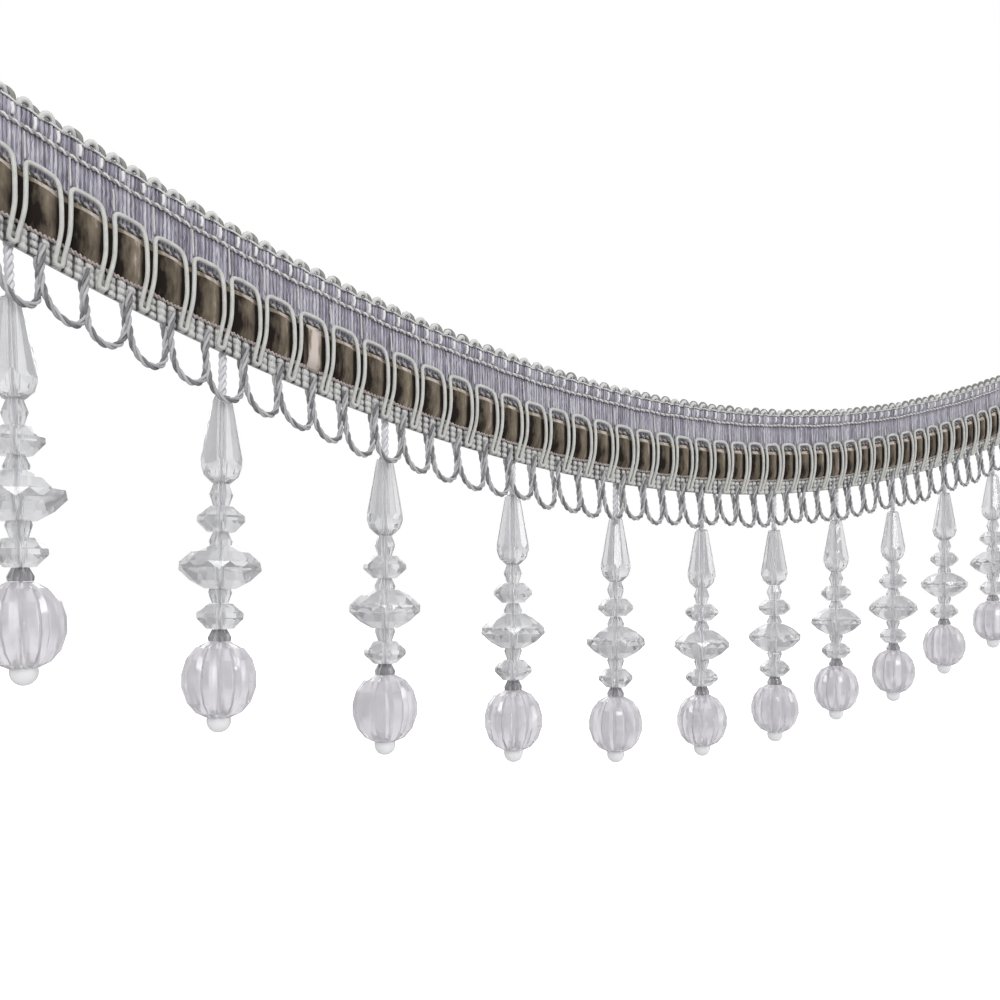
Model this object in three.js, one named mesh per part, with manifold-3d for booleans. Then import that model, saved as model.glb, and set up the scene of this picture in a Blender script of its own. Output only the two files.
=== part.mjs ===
// A beaded fringe trim hung in a swag: a woven heading with a picot edge, a velvet ribbon
// laid under a row of gimp arches, a foot with looped cord fringe, and eleven bead drops.
// Millimetres, +Z up. +X runs along the trim, its face looks towards -Y, and the origin
// is at the middle of the heading's top edge.

import * as THREE from 'three';
import { mergeVertices } from 'three/addons/utils/BufferGeometryUtils.js';
import Module from 'manifold-3d';

const wasm = await Module();
wasm.setup();

// The swag: the foot edge hangs as a catenary, on a slight bow towards the front, and the
// upright threads of the band stay upright
const CATENARY = 600;
const BOW_RADIUS = 1900;

// The band, measured up from its foot edge
const PITCH = 9.05;
const WINDOWS = 48;
const BAND_HEIGHT = 30;
const FOOT_HEIGHT = 4.6;
const RIBBON_BOTTOM = 4.9;
const RIBBON_TOP = 14.9;
const HEADING_BOTTOM = 15.2;
const WEAVE_THICKNESS = 1.2;
const PIECE_GAP = 0.3;

// The picot edge: two scallops over each arch
const PICOTS_PER_WINDOW = 2;
const PICOT_HEIGHT = 1.4;

// The velvet ribbon, puffed between the legs of the gimp
const RIBBON_THICKNESS = 1.2;
const RIBBON_PUFF = 1.3;
const PUFF_START = 2.1;
const PUFF_FULL = 3.3;
const RIBBON_JOIN = -14.7 * PITCH;
const RIBBON_JOIN_GAP = 0.6;

// The gimp cord: one meander of arches with paired legs
const GIMP_WIDTH = 1.3;
const GIMP_FOOT = 1.0;
const GIMP_TOP = 17.05;
const GIMP_CORNER = 2.0;
const LEG_INSET_FOOT = 0.8;
const LEG_INSET_TOP = 1.05;
const LEG_LEAN = 0.8;
const LEG_LEAN_HEIGHT = 9;

// The looped fringe, leaning a little forward of the bead hangers, its roots under the
// middles of the arches
const LOOP_HALF_WIDTH = 3.7;
const LOOP_DEPTH = 10.4;
const LOOP_CORD = 1.3;
const LOOP_THICKNESS = 1.1;
const LOOP_ROOT = 0.3;
const LOOP_SIDES = 6;
const LOOP_LEAN = 0.165;

// The bead hangers, behind the foot
const HANGER_WIDTH = 2.1;
const HANGER_THICKNESS = 1.2;
const HANGER_ROOT = 3.5;
const HANGER_SETBACK = 1.0;

// The bead drops: place along the foot in windows from the middle, length of the bare
// hanger in mm, lean in degrees (the bottom goes right), and turn of the facets in degrees
const DROPS = [
  { place: -22.1, hanger: 9.9, lean: 2.0, turn: 10 },
  { place: -16.9, hanger: 9.3, lean: -0.7, turn: 31 },
  { place: -11.9, hanger: 9.2, lean: 0, turn: 4 },
  { place: -7.1, hanger: 9.3, lean: 0.3, turn: 22 },
  { place: -2.5, hanger: 10.5, lean: 0, turn: 38 },
  { place: 1.9, hanger: 12.0, lean: 0.2, turn: 15 },
  { place: 6.1, hanger: 12.7, lean: 0.4, turn: 27 },
  { place: 10.1, hanger: 11.7, lean: 0, turn: 8 },
  { place: 14.1, hanger: 13.2, lean: 0.3, turn: 34 },
  { place: 18.1, hanger: 12.2, lean: -0.3, turn: 19 },
  { place: 22.1, hanger: 12.7, lean: 0.2, turn: 2 },
];

// The bead profiles, each point a distance down from the top of the string and a radius
const BEAD_SIDES = 8;
const TEARDROP_SET = [
  { down: 0, radius: 1.9 },
  { down: 15.0, radius: 4.6 },
  { down: 17.9, radius: 3.8 },
  { down: 19.6, radius: 1.7 },
  { down: 22.3, radius: 2.65 },
  { down: 24.7, radius: 1.6 },
  { down: 24.9, radius: 2.9 },
  { down: 26.9, radius: 5.5 },
  { down: 28.1, radius: 5.5 },
  { down: 30.1, radius: 2.9 },
  { down: 30.3, radius: 1.6 },
  { down: 31.9, radius: 2.6 },
  { down: 33.3, radius: 1.6 },
];
const RONDELLE_SET = [
  { down: 33.6, radius: 4.2 },
  { down: 36.9, radius: 9 },
  { down: 38.9, radius: 9 },
  { down: 42.3, radius: 4.2 },
  { down: 42.5, radius: 2.4 },
  { down: 44.0, radius: 2.65 },
  { down: 46.2, radius: 1.7 },
  { down: 46.4, radius: 2.9 },
  { down: 48.4, radius: 5.35 },
  { down: 49.6, radius: 5.35 },
  { down: 51.6, radius: 2.9 },
  { down: 51.8, radius: 1.6 },
  { down: 54.0, radius: 2.6 },
];
const MELON = [
  { down: 54.3, radius: 2.4 },
  { down: 56.6, radius: 6.4 },
  { down: 62.6, radius: 8.15 },
  { down: 68.6, radius: 6.6 },
  { down: 71.2, radius: 2.6 },
];
const MELON_FLUTES = 10;
const FLUTE_DEPTH = 0.7;
const STOPPER_RADIUS = 2.7;
const STOPPER_CENTRE = 72.4;
const STOPPER_SIDES = 8;
const STOPPER_RINGS = 4;

const HALF_LENGTH = (WINDOWS * PITCH) / 2;
const SECTION_ROUNDING = 0.001;

const MATERIALS = {
  heading: new THREE.MeshStandardMaterial({ color: 0xa9a5ae, roughness: 0.7, metalness: 0 }),
  velvet: new THREE.MeshStandardMaterial({ color: 0x5b4d40, roughness: 0.85, metalness: 0 }),
  gimp: new THREE.MeshStandardMaterial({ color: 0xc4c7bd, roughness: 0.6, metalness: 0 }),
  cord: new THREE.MeshStandardMaterial({ color: 0xa7a6a8, roughness: 0.6, metalness: 0 }),
  thread: new THREE.MeshStandardMaterial({ color: 0xd6d6da, roughness: 0.4, metalness: 0 }),
  acrylic: new THREE.MeshStandardMaterial({ color: 0xd9d8de, roughness: 0.08, metalness: 0 }),
};

const trim = new THREE.Group();

// The frame of the band at an arc length along its foot: foot point, up and face vectors
function bandFrame(arc) {
  const run = CATENARY * Math.asinh(arc / CATENARY);
  const rise = Math.hypot(CATENARY, arc) - CATENARY;
  const heading = run / BOW_RADIUS;
  return {
    foot: new THREE.Vector3(
      BOW_RADIUS * Math.sin(heading),
      -BOW_RADIUS * (1 - Math.cos(heading)),
      rise - BAND_HEIGHT,
    ),
    up: new THREE.Vector3(0, 0, 1),
    face: new THREE.Vector3(-Math.sin(heading), -Math.cos(heading), 0),
    heading,
  };
}

// The hung place of a point given along the band, up it and out of its face
function hungPoint(along, up, out) {
  const frame = bandFrame(along);
  return frame.foot.clone().addScaledVector(frame.up, up).addScaledVector(frame.face, out);
}

// Moves every vertex of a flat piece, x along, y up and z out, to its hung place
function hang(geometry) {
  const merged = bare(geometry);
  const position = merged.getAttribute('position');
  for (let i = 0; i < position.count; i += 1) {
    const point = hungPoint(position.getX(i), position.getY(i), position.getZ(i));
    position.setXYZ(i, point.x, point.y, point.z);
  }
  return merged;
}

// A copy of a geometry with only its positions, its shared vertices merged
function bare(geometry) {
  const copy = geometry.clone();
  copy.deleteAttribute('normal');
  copy.deleteAttribute('uv');
  return mergeVertices(copy, 1e-4);
}

// Sets flat sections one after another along the band. The walls where two sections meet
// are left out, so the row is one closed body. Places along it are rounded to agree there.
function joinAlong(sections) {
  const places = [];
  let left = -HALF_LENGTH;
  sections.forEach(({ solid, width }, index) => {
    const corners = solid.getAttribute('position');
    for (let first = 0; first < corners.count; first += 3) {
      const triangle = [first, first + 1, first + 2];
      const inWall = (wall) => triangle.every(
        (corner) => Math.abs(corners.getX(corner) - wall) < SECTION_ROUNDING,
      );
      const meetsLast = index > 0 && inWall(0);
      const meetsNext = index < sections.length - 1 && inWall(width);
      if (!meetsLast && !meetsNext) {
        for (const corner of triangle) {
          const along = corners.getX(corner) + left;
          const rounded = Math.round(along / SECTION_ROUNDING) * SECTION_ROUNDING;
          places.push(rounded, corners.getY(corner), corners.getZ(corner));
        }
      }
    }
    left += width;
  });
  const row = new THREE.BufferGeometry();
  row.setAttribute('position', new THREE.Float32BufferAttribute(places, 3));
  return row;
}

// Joins overlapping solids into one closed body
function fuse(geometries) {
  let body = null;
  for (const geometry of geometries) {
    const solid = new wasm.Manifold(
      new wasm.Mesh({
        numProp: 3,
        vertProperties: new Float32Array(geometry.getAttribute('position').array),
        triVerts: new Uint32Array(geometry.getIndex().array),
      }),
    );
    body = body ? body.add(solid) : solid;
  }
  const mesh = body.getMesh();
  const fused = new THREE.BufferGeometry();
  fused.setAttribute('position', new THREE.BufferAttribute(mesh.vertProperties, 3));
  fused.setIndex(new THREE.BufferAttribute(mesh.triVerts, 1));
  return fused;
}

// Adds a named mesh to a group
function addPiece(group, name, geometry, material) {
  const mesh = new THREE.Mesh(geometry, material);
  mesh.name = name;
  group.add(mesh);
  return mesh;
}

// The heading: a flat tape whose top edge rises and falls in picots
function makeHeading() {
  const height = BAND_HEIGHT - PICOT_HEIGHT - HEADING_BOTTOM;
  const columns = WINDOWS * PICOTS_PER_WINDOW * 2;
  const tape = new THREE.BoxGeometry(2 * HALF_LENGTH, height, WEAVE_THICKNESS, columns, 1, 1);
  tape.translate(0, HEADING_BOTTOM + height / 2, WEAVE_THICKNESS / 2);
  const position = tape.getAttribute('position');
  const column = (2 * HALF_LENGTH) / columns;
  for (let i = 0; i < position.count; i += 1) {
    const atCrest = Math.round((position.getX(i) + HALF_LENGTH) / column) % 2 === 1;
    const onTop = position.getY(i) > HEADING_BOTTOM + height / 2;
    if (atCrest && onTop) {
      position.setY(i, BAND_HEIGHT);
    }
  }
  return hang(tape);
}

// One length of velvet ribbon between two places along the band, puffed in each window
function makeRibbon(start, end) {
  const outline = [];
  for (let window = 0; window < WINDOWS; window += 1) {
    const left = window * PITCH - HALF_LENGTH;
    outline.push({ along: left + PUFF_START, out: RIBBON_THICKNESS });
    outline.push({ along: left + PUFF_FULL, out: RIBBON_THICKNESS + RIBBON_PUFF });
    outline.push({ along: left + PITCH - PUFF_FULL, out: RIBBON_THICKNESS + RIBBON_PUFF });
    outline.push({ along: left + PITCH - PUFF_START, out: RIBBON_THICKNESS });
  }
  const inside = outline.filter((point) => point.along > start && point.along < end);
  const stations = [
    { along: start, out: RIBBON_THICKNESS },
    ...inside,
    { along: end, out: RIBBON_THICKNESS },
  ];
  const height = RIBBON_TOP - RIBBON_BOTTOM;
  const sheet = new THREE.BoxGeometry(1, height, 1, stations.length - 1, 1, 1);
  const position = sheet.getAttribute('position');
  for (let i = 0; i < position.count; i += 1) {
    const station = stations[Math.round((position.getX(i) + 0.5) * (stations.length - 1))];
    const out = position.getZ(i) > 0 ? station.out : 0;
    position.setXYZ(i, station.along, position.getY(i) + RIBBON_BOTTOM + height / 2, out);
  }
  return hang(sheet);
}

// The gimp: for each window one arch, from foot turn to foot turn, joined into a meander
function makeGimp() {
  const half = GIMP_WIDTH / 2;
  const slant = half * Math.tan(Math.PI / 8);
  const footOut = LEG_INSET_FOOT - half;
  const footIn = LEG_INSET_FOOT + half;
  const topOut = LEG_INSET_TOP - half;
  const topIn = LEG_INSET_TOP + half;
  const leftSide = [
    [0, GIMP_FOOT - half],
    [0, GIMP_FOOT + half],
    [footOut, GIMP_FOOT + half],
    [topOut, GIMP_TOP - GIMP_CORNER + slant],
    [LEG_INSET_TOP + GIMP_CORNER - slant, GIMP_TOP + half],
  ];
  const leftInside = [
    [LEG_INSET_TOP + GIMP_CORNER + slant, GIMP_TOP - half],
    [topIn, GIMP_TOP - GIMP_CORNER - slant],
    [footIn, GIMP_FOOT - half],
  ];
  const mirrored = (points) => points.map(([along, up]) => [PITCH - along, up]).reverse();
  const outline = [...leftSide, ...mirrored(leftSide), ...mirrored(leftInside), ...leftInside];
  const shape = new THREE.Shape(outline.map(([along, up]) => new THREE.Vector2(along, up)));
  const arch = new THREE.ExtrudeGeometry(shape, { depth: GIMP_WIDTH, bevelEnabled: false });
  arch.translate(0, 0, WEAVE_THICKNESS + PIECE_GAP);
  const row = joinAlong(Array(WINDOWS).fill({ solid: arch, width: PITCH }));
  const position = row.getAttribute('position');
  for (let i = 0; i < position.count; i += 1) {
    const lean = LEG_LEAN * Math.max(0, 1 - position.getY(i) / LEG_LEAN_HEIGHT);
    position.setX(i, position.getX(i) - lean);
  }
  return hang(row);
}

// The points along one side of a loop, from its right root down and round to its left root
function loopPoints(halfWidth, depth) {
  const points = [new THREE.Vector2(PITCH / 2 + halfWidth, LOOP_ROOT)];
  for (let step = 0; step <= LOOP_SIDES; step += 1) {
    const angle = (Math.PI * step) / LOOP_SIDES;
    const along = PITCH / 2 + halfWidth * Math.cos(angle);
    points.push(new THREE.Vector2(along, -depth * Math.sin(angle)));
  }
  points.push(new THREE.Vector2(PITCH / 2 - halfWidth, LOOP_ROOT));
  return points;
}

// A length of the foot strip from its left end
function makeStrip(width) {
  const strip = new THREE.BoxGeometry(width, FOOT_HEIGHT, WEAVE_THICKNESS);
  return strip.translate(width / 2, FOOT_HEIGHT / 2, WEAVE_THICKNESS / 2);
}

// The foot strip with a cord loop across each pair of windows, all rooted in the strip
function makeFringe() {
  const half = LOOP_CORD / 2;
  const outer = loopPoints(LOOP_HALF_WIDTH + half, LOOP_DEPTH + half);
  const inner = loopPoints(LOOP_HALF_WIDTH - half, LOOP_DEPTH - half).reverse();
  const loop = new THREE.ExtrudeGeometry(new THREE.Shape([...outer, ...inner]), {
    depth: LOOP_THICKNESS,
    bevelEnabled: false,
  });
  const inset = (WEAVE_THICKNESS - LOOP_THICKNESS) / 2;
  const position = loop.getAttribute('position');
  for (let i = 0; i < position.count; i += 1) {
    const below = Math.max(0, -position.getY(i));
    position.setZ(i, position.getZ(i) + inset + LOOP_LEAN * below);
  }
  const rooted = fuse([bare(makeStrip(PITCH)), bare(loop)]).toNonIndexed();
  const end = { solid: makeStrip(PITCH / 2).toNonIndexed(), width: PITCH / 2 };
  const loops = Array(WINDOWS - 1).fill({ solid: rooted, width: PITCH });
  return hang(joinAlong([end, ...loops, end]));
}

// A faceted string of beads turned from its profile, hanging down from its own top
function turnBeads(profile, sides) {
  const upwards = [...profile].reverse();
  const points = upwards.map((point) => new THREE.Vector2(point.radius, -point.down));
  points.unshift(new THREE.Vector2(0, points[0].y));
  points.push(new THREE.Vector2(0, points[points.length - 1].y));
  const beads = new THREE.LatheGeometry(points, sides);
  beads.rotateX(Math.PI / 2);
  return bare(beads);
}

// The melon bead with its flutes, and the small ball that stops the string under it
function makeMelon() {
  const melon = turnBeads(MELON, MELON_FLUTES * 2);
  const position = melon.getAttribute('position');
  const sector = Math.PI / MELON_FLUTES;
  for (let i = 0; i < position.count; i += 1) {
    const radius = Math.hypot(position.getX(i), position.getY(i));
    const angle = Math.atan2(position.getY(i), position.getX(i));
    const inValley = Math.abs(Math.round(angle / sector)) % 2 === 1;
    if (inValley && radius > MELON[0].radius + FLUTE_DEPTH) {
      const scale = (radius - FLUTE_DEPTH) / radius;
      position.setXY(i, position.getX(i) * scale, position.getY(i) * scale);
    }
  }
  const stopper = new THREE.SphereGeometry(STOPPER_RADIUS, STOPPER_SIDES, STOPPER_RINGS);
  stopper.rotateX(Math.PI / 2);
  stopper.translate(0, 0, -STOPPER_CENTRE);
  return fuse([melon, bare(stopper)]);
}

// One drop: its hanger rooted behind the foot, and its beads one under another
function addDrop(drop, number) {
  const frame = bandFrame(drop.place * PITCH);
  const prefix = `drop_${String(number).padStart(2, '0')}`;
  const hung = new THREE.Group();
  hung.position.copy(frame.foot);
  hung.rotation.order = 'ZYX';
  hung.rotation.set(0, -THREE.MathUtils.degToRad(drop.lean), -frame.heading);
  const length = HANGER_ROOT + drop.hanger - PIECE_GAP;
  const strand = new THREE.BoxGeometry(HANGER_WIDTH, HANGER_THICKNESS, length);
  strand.translate(0, HANGER_SETBACK, HANGER_ROOT - length / 2);
  addPiece(hung, `${prefix}_hanger`, strand, MATERIALS.thread);
  const string = new THREE.Group();
  string.position.set(0, HANGER_SETBACK, -drop.hanger);
  string.rotation.z = THREE.MathUtils.degToRad(drop.turn);
  const teardrop = turnBeads(TEARDROP_SET, BEAD_SIDES);
  addPiece(string, `${prefix}_teardrop_set`, teardrop, MATERIALS.acrylic);
  const rondelle = turnBeads(RONDELLE_SET, BEAD_SIDES);
  addPiece(string, `${prefix}_rondelle_set`, rondelle, MATERIALS.acrylic);
  addPiece(string, `${prefix}_melon`, makeMelon(), MATERIALS.acrylic);
  hung.add(string);
  trim.add(hung);
}

addPiece(trim, 'heading_tape', makeHeading(), MATERIALS.heading);
const leftRibbon = makeRibbon(-HALF_LENGTH, RIBBON_JOIN - RIBBON_JOIN_GAP / 2);
addPiece(trim, 'velvet_ribbon_left', leftRibbon, MATERIALS.velvet);
const rightRibbon = makeRibbon(RIBBON_JOIN + RIBBON_JOIN_GAP / 2, HALF_LENGTH);
addPiece(trim, 'velvet_ribbon_right', rightRibbon, MATERIALS.velvet);
addPiece(trim, 'gimp_cord', makeGimp(), MATERIALS.gimp);
addPiece(trim, 'loop_fringe', makeFringe(), MATERIALS.cord);
DROPS.forEach((drop, index) => addDrop(drop, index + 1));

export default trim;
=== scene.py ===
"""The looks of a beaded fringe trim hung in a swag.

Metres, +X along the trim, its face towards -Y, +Z up, origin at the middle of the top edge.
A flat place on the band is (along, up, out): along its foot, up from the foot, out of its face.
"""

import logging
import math
from dataclasses import dataclass, field
from enum import Enum
from functools import lru_cache
from typing import ClassVar

import bmesh
import bpy
import numpy as np
from mathutils import Matrix, Vector


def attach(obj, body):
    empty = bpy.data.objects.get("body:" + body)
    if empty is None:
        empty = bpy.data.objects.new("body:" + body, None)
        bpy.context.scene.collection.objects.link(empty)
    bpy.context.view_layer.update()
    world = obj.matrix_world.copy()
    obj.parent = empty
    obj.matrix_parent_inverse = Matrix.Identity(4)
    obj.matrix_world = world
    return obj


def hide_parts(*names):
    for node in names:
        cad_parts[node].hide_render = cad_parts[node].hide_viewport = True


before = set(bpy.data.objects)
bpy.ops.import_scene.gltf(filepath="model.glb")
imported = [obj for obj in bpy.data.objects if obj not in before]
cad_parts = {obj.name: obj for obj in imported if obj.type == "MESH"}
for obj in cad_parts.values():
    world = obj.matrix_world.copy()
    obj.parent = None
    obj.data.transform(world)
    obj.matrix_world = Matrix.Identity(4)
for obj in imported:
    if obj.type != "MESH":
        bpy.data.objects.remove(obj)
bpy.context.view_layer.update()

log = logging.getLogger("beaded_trim")

MM = 0.001
BODY = "root"
WHITE = (1.0, 1.0, 1.0, 1.0)
SPAN_STEPS = 8
PLY_SINK = 0.96
NUDGE = 1e-6

Array = np.ndarray
Random = np.random.Generator
Piece = bpy.types.Object
Material = bpy.types.Material
Tree = bpy.types.NodeTree
Node = bpy.types.Node
Socket = bpy.types.NodeSocket
Triple = tuple[float, float, float]


class Slot(Enum):
    """The record's material slots."""

    HEADING = "heading"
    VELVET = "velvet"
    GIMP = "gimp"
    CORD = "fringe_cord"
    HANGER = "hanger"
    BEADS = "beads_clear"
    SPACER = "spacer_grey"
    STOPPER = "stopper_white"


@dataclass(frozen=True)
class Swag:
    """The line that the band hangs in: a catenary on a slight bow, its threads upright.

    Args:
        catenary: the catenary's own length at its lowest point.
        bow_radius: radius of the bow seen from above.
        band_height: height of the band from its foot to the tops of its picots.
        pitch: width of one window between the gimp's legs.
        windows: number of windows along the band.
    """

    catenary: float = 600 * MM
    bow_radius: float = 1900 * MM
    band_height: float = 30 * MM
    pitch: float = 9.05 * MM
    windows: int = 48

    @property
    def half_length(self) -> float:
        """Half the length of the foot."""
        return self.pitch * self.windows / 2

    def spread(self, count: int) -> Array:
        """Even places along the whole band."""
        return np.linspace(-self.half_length, self.half_length, count)

    def passed(self, along: Array) -> Array:
        """How many windows each place is from the left end."""
        return (along + self.half_length) / self.pitch

    def window_left(self, window: int) -> float:
        """Where a window starts along the band."""
        return window * self.pitch - self.half_length

    def heading(self, along: Array) -> Array:
        """The turn of the band seen from above, in radians."""
        return self.catenary * np.arcsinh(along / self.catenary) / self.bow_radius

    def hang(self, flat: Array) -> Array:
        """Moves flat places to their hung places.

        Args:
            flat: array of (along, up, out) rows.

        Returns:
            Array of (x, y, z) rows.
        """
        along, up, out = flat[:, 0], flat[:, 1], flat[:, 2]
        turn = self.heading(along)
        rise = np.hypot(self.catenary, along) - self.catenary
        x = self.bow_radius * np.sin(turn) - out * np.sin(turn)
        y = -self.bow_radius * (1 - np.cos(turn)) - out * np.cos(turn)
        return np.stack([x, y, rise - self.band_height + up], axis=1)


def link_new(name: str, data: bpy.types.ID) -> Piece:
    """Makes an object and links it to the scene.

    Args:
        name: the object's name.
        data: its mesh, light or camera.

    Returns:
        The new object.
    """
    made = bpy.data.objects.new(name, data)
    bpy.context.scene.collection.objects.link(made)
    return made


@dataclass
class Draft:
    """A mesh in the making, with pattern places in millimetres and a tone for each point."""

    points: list[Array] = field(default_factory=list)
    tones: list[Array] = field(default_factory=list)
    faces: list[list[int]] = field(default_factory=list)
    corners: list[Array] = field(default_factory=list)
    count: int = 0

    def add_points(self, points: Array, tone: float | Array) -> int:
        """Adds points.

        Args:
            points: rows of (x, y, z).
            tone: one tone for all, or one for each.

        Returns:
            The index of the first.
        """
        first = self.count
        self.points.append(points)
        self.tones.append(np.broadcast_to(np.asarray(tone, dtype=float), (len(points),)))
        self.count += len(points)
        return first

    def add_faces(self, faces: Array, corners: Array) -> None:
        """Adds faces of one size with the pattern place of each corner."""
        self.faces.extend(faces.tolist())
        self.corners.append(corners.reshape(-1, 2))

    def build(self, name: str, material: Material) -> Piece:
        """Makes the mesh object, smooth shaded.

        Args:
            name: the piece's name.
            material: its finish.

        Returns:
            The new object.
        """
        mesh = bpy.data.meshes.new(name)
        mesh.from_pydata(np.vstack(self.points).tolist(), [], self.faces)
        layer = mesh.uv_layers.new(name="pattern")
        layer.data.foreach_set("uv", np.vstack(self.corners).astype(np.float32).ravel())
        tone = mesh.attributes.new("tone", "FLOAT", "POINT")
        tone.data.foreach_set("value", np.concatenate(self.tones).astype(np.float32))
        mesh.polygons.foreach_set("use_smooth", [True] * len(mesh.polygons))
        mesh.materials.append(material)
        mesh.validate()
        mesh.update()
        return link_new(name, mesh)


def ease(value: Array, low: float, high: float) -> Array:
    """Rises smoothly from 0 at the low place to 1 at the high place."""
    share = np.clip((value - low) / (high - low), 0, 1)
    return share * share * (3 - 2 * share)


def hill(value: Array, start: float, crest: float, fall: float, end: float) -> Array:
    """Rises smoothly from 0 at the start to 1 at the crest, and falls back to 0 at the end."""
    return ease(value, start, crest) * (1 - ease(value, fall, end))


def stray(random: Random, most: float) -> float:
    """Draws how far something strays to either side."""
    return random.uniform(-most, most)


def whole(places: Array) -> Array:
    """The number of the unit that each place is in, where a place just short of one counts as in it."""
    return np.floor(places + NUDGE).astype(int)


def smooth_path(points: Array, step: float) -> Array:
    """A smooth curve through points, in even steps.

    Args:
        points: rows of places to pass through.
        step: length of a step.

    Returns:
        Rows of places along the curve.
    """
    ends = np.vstack([2 * points[0] - points[1], points, 2 * points[-1] - points[-2]])
    share = np.linspace(0, 1, SPAN_STEPS + 1)[:-1, None]
    spans = []
    for a, b, c, d in zip(ends, ends[1:], ends[2:], ends[3:]):
        bend = (2 * a - 5 * b + 4 * c - d) * share**2 + (3 * b - a - 3 * c + d) * share**3
        spans.append(0.5 * (2 * b + (c - a) * share + bend))
    dense = np.vstack([*spans, points[-1:]])
    reach = np.concatenate([[0], np.cumsum(np.linalg.norm(np.diff(dense, axis=0), axis=1))])
    stops = np.linspace(0, reach[-1], max(3, round(reach[-1] / step) + 1))
    return np.stack([np.interp(stops, reach, dense[:, axis]) for axis in range(3)], axis=1)


def path_frames(path: Array) -> tuple[Array, Array, Array]:
    """Finds how a path runs, its cross directions turning as little as they can.

    Args:
        path: rows of places.

    Returns:
        The length so far and two cross directions at each place.
    """
    tangents = np.gradient(path, axis=0)
    tangents /= np.linalg.norm(tangents, axis=1)[:, None]
    reach = np.concatenate([[0], np.cumsum(np.linalg.norm(np.diff(path, axis=0), axis=1))])
    side = np.array([0.0, -1.0, 0.0])
    sides = np.empty_like(path)
    for index, tangent in enumerate(tangents):
        side = side - tangent * side.dot(tangent)
        side /= np.linalg.norm(side)
        sides[index] = side
    return reach, sides, np.cross(tangents, sides)


@dataclass(frozen=True)
class Cord:
    """How a cord is laid up from its plies.

    Args:
        plies: number of plies.
        radius: radius of one ply.
        lay: length of one turn of the twist.
        tones: shade of each ply, from 0 for dark to 1 for light.
        sides: faces round a ply.
        step: length of a step along the cord.
        fade: how much darker it is at its far end.
    """

    plies: int
    radius: float
    lay: float
    tones: tuple[float, ...]
    sides: int = 6
    step: float = 0.45 * MM
    fade: float = 0.0

    @property
    def offset(self) -> float:
        """Distance of a ply from the cord's middle."""
        return 0.0 if self.plies == 1 else PLY_SINK * self.radius / math.sin(math.pi / self.plies)

    def lay_up(self, draft: Draft, path: Array, turn: float = 0.0) -> None:
        """Adds the cord along a hung path.

        Args:
            draft: the mesh it goes into.
            path: rows of hung places in even steps.
            turn: twist at its start, in radians.
        """
        reach, side, cross = path_frames(path)
        now = np.arange(self.sides)
        ring = now * 2 * math.pi / self.sides
        spokes = np.cos(ring)[None, :, None] * side[:, None] + np.sin(ring)[None, :, None] * cross[:, None]
        low = np.arange(len(path) - 1)[:, None] * self.sides
        high, after = low + self.sides, (now + 1) % self.sides
        quads = np.stack([low + now, low + after, high + after, high + now], -1)
        ends = np.stack([reach[:-1], reach[:-1], reach[1:], reach[1:]], -1)[:, None] / MM
        turns = (now[None, :, None] + np.array([0, 1, 1, 0])) / self.sides
        corners = np.stack(np.broadcast_arrays(ends, turns), -1)
        blank = np.zeros((1, self.sides, 2))
        for ply in range(self.plies):
            twist = 2 * math.pi * (reach / self.lay + ply / self.plies) + turn
            middle = path + self.offset * (np.cos(twist)[:, None] * side + np.sin(twist)[:, None] * cross)
            tone = self.tones[ply % len(self.tones)] - self.fade * reach / reach[-1]
            points = (middle[:, None] + self.radius * spokes).reshape(-1, 3)
            first = draft.add_points(points, np.repeat(tone, self.sides))
            draft.add_faces(first + quads.reshape(-1, 4), corners)
            draft.add_faces((first + now[::-1])[None], blank)
            draft.add_faces((first + (len(path) - 1) * self.sides + now)[None], blank)


def add_slab(
    draft: Draft, swag: Swag, along: Array, up: Array, out: Array, tone: Array, back: float
) -> None:
    """Adds a closed woven sheet with a shaped face and a flat back.

    Args:
        draft: the mesh it goes into.
        swag: the line that it hangs in.
        along: places of its columns.
        up: places of its rows.
        out: height of its face at each column and row.
        tone: tone at each column and row.
        back: height of its back.
    """
    columns, rows = len(along), len(up)
    grid = np.meshgrid(along, up, indexing="ij")
    first = draft.add_points(swag.hang(np.stack([*grid, out], -1).reshape(-1, 3)), tone.reshape(-1))
    rear = np.array([(x, y, back) for x in along for y in (up[0], up[-1])])
    behind = draft.add_points(swag.hang(rear), float(tone.mean()))
    column = np.arange(columns - 1)
    low, rear_low = first + column * rows, behind + 2 * column
    top, rear_top = low + rows - 1, rear_low + 1
    corner = low[:, None] + np.arange(rows - 1)[None, :]
    quads = np.stack([corner, corner + rows, corner + rows + 1, corner + 1], -1).reshape(-1, 4)
    draft.add_faces(quads, (np.stack(grid, -1).reshape(-1, 2) / MM)[quads - first])
    foot, head = up[0], up[-1]
    bands = (
        ((rear_low, rear_top, rear_top + 2, rear_low + 2), (foot, head, head, foot)),
        ((rear_low, rear_low + 2, low + rows, low), (foot,) * 4),
        ((top, top + rows, rear_top + 2, rear_top), (head,) * 4),
    )
    across = np.stack([along[:-1], along[:-1], along[1:], along[1:]], -1)
    for band, height in bands:
        spots = np.stack([across, np.broadcast_to(height, across.shape)], -1) / MM
        draft.add_faces(np.stack(band, -1), spots)
    for end, turned in ((0, False), (columns - 1, True)):
        start = first + end * rows
        edge = [behind + 2 * end, *range(start, start + rows), behind + 2 * end + 1]
        draft.add_faces(np.array([edge if turned else edge[::-1]]), np.zeros((1, rows + 2, 2)))


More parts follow.
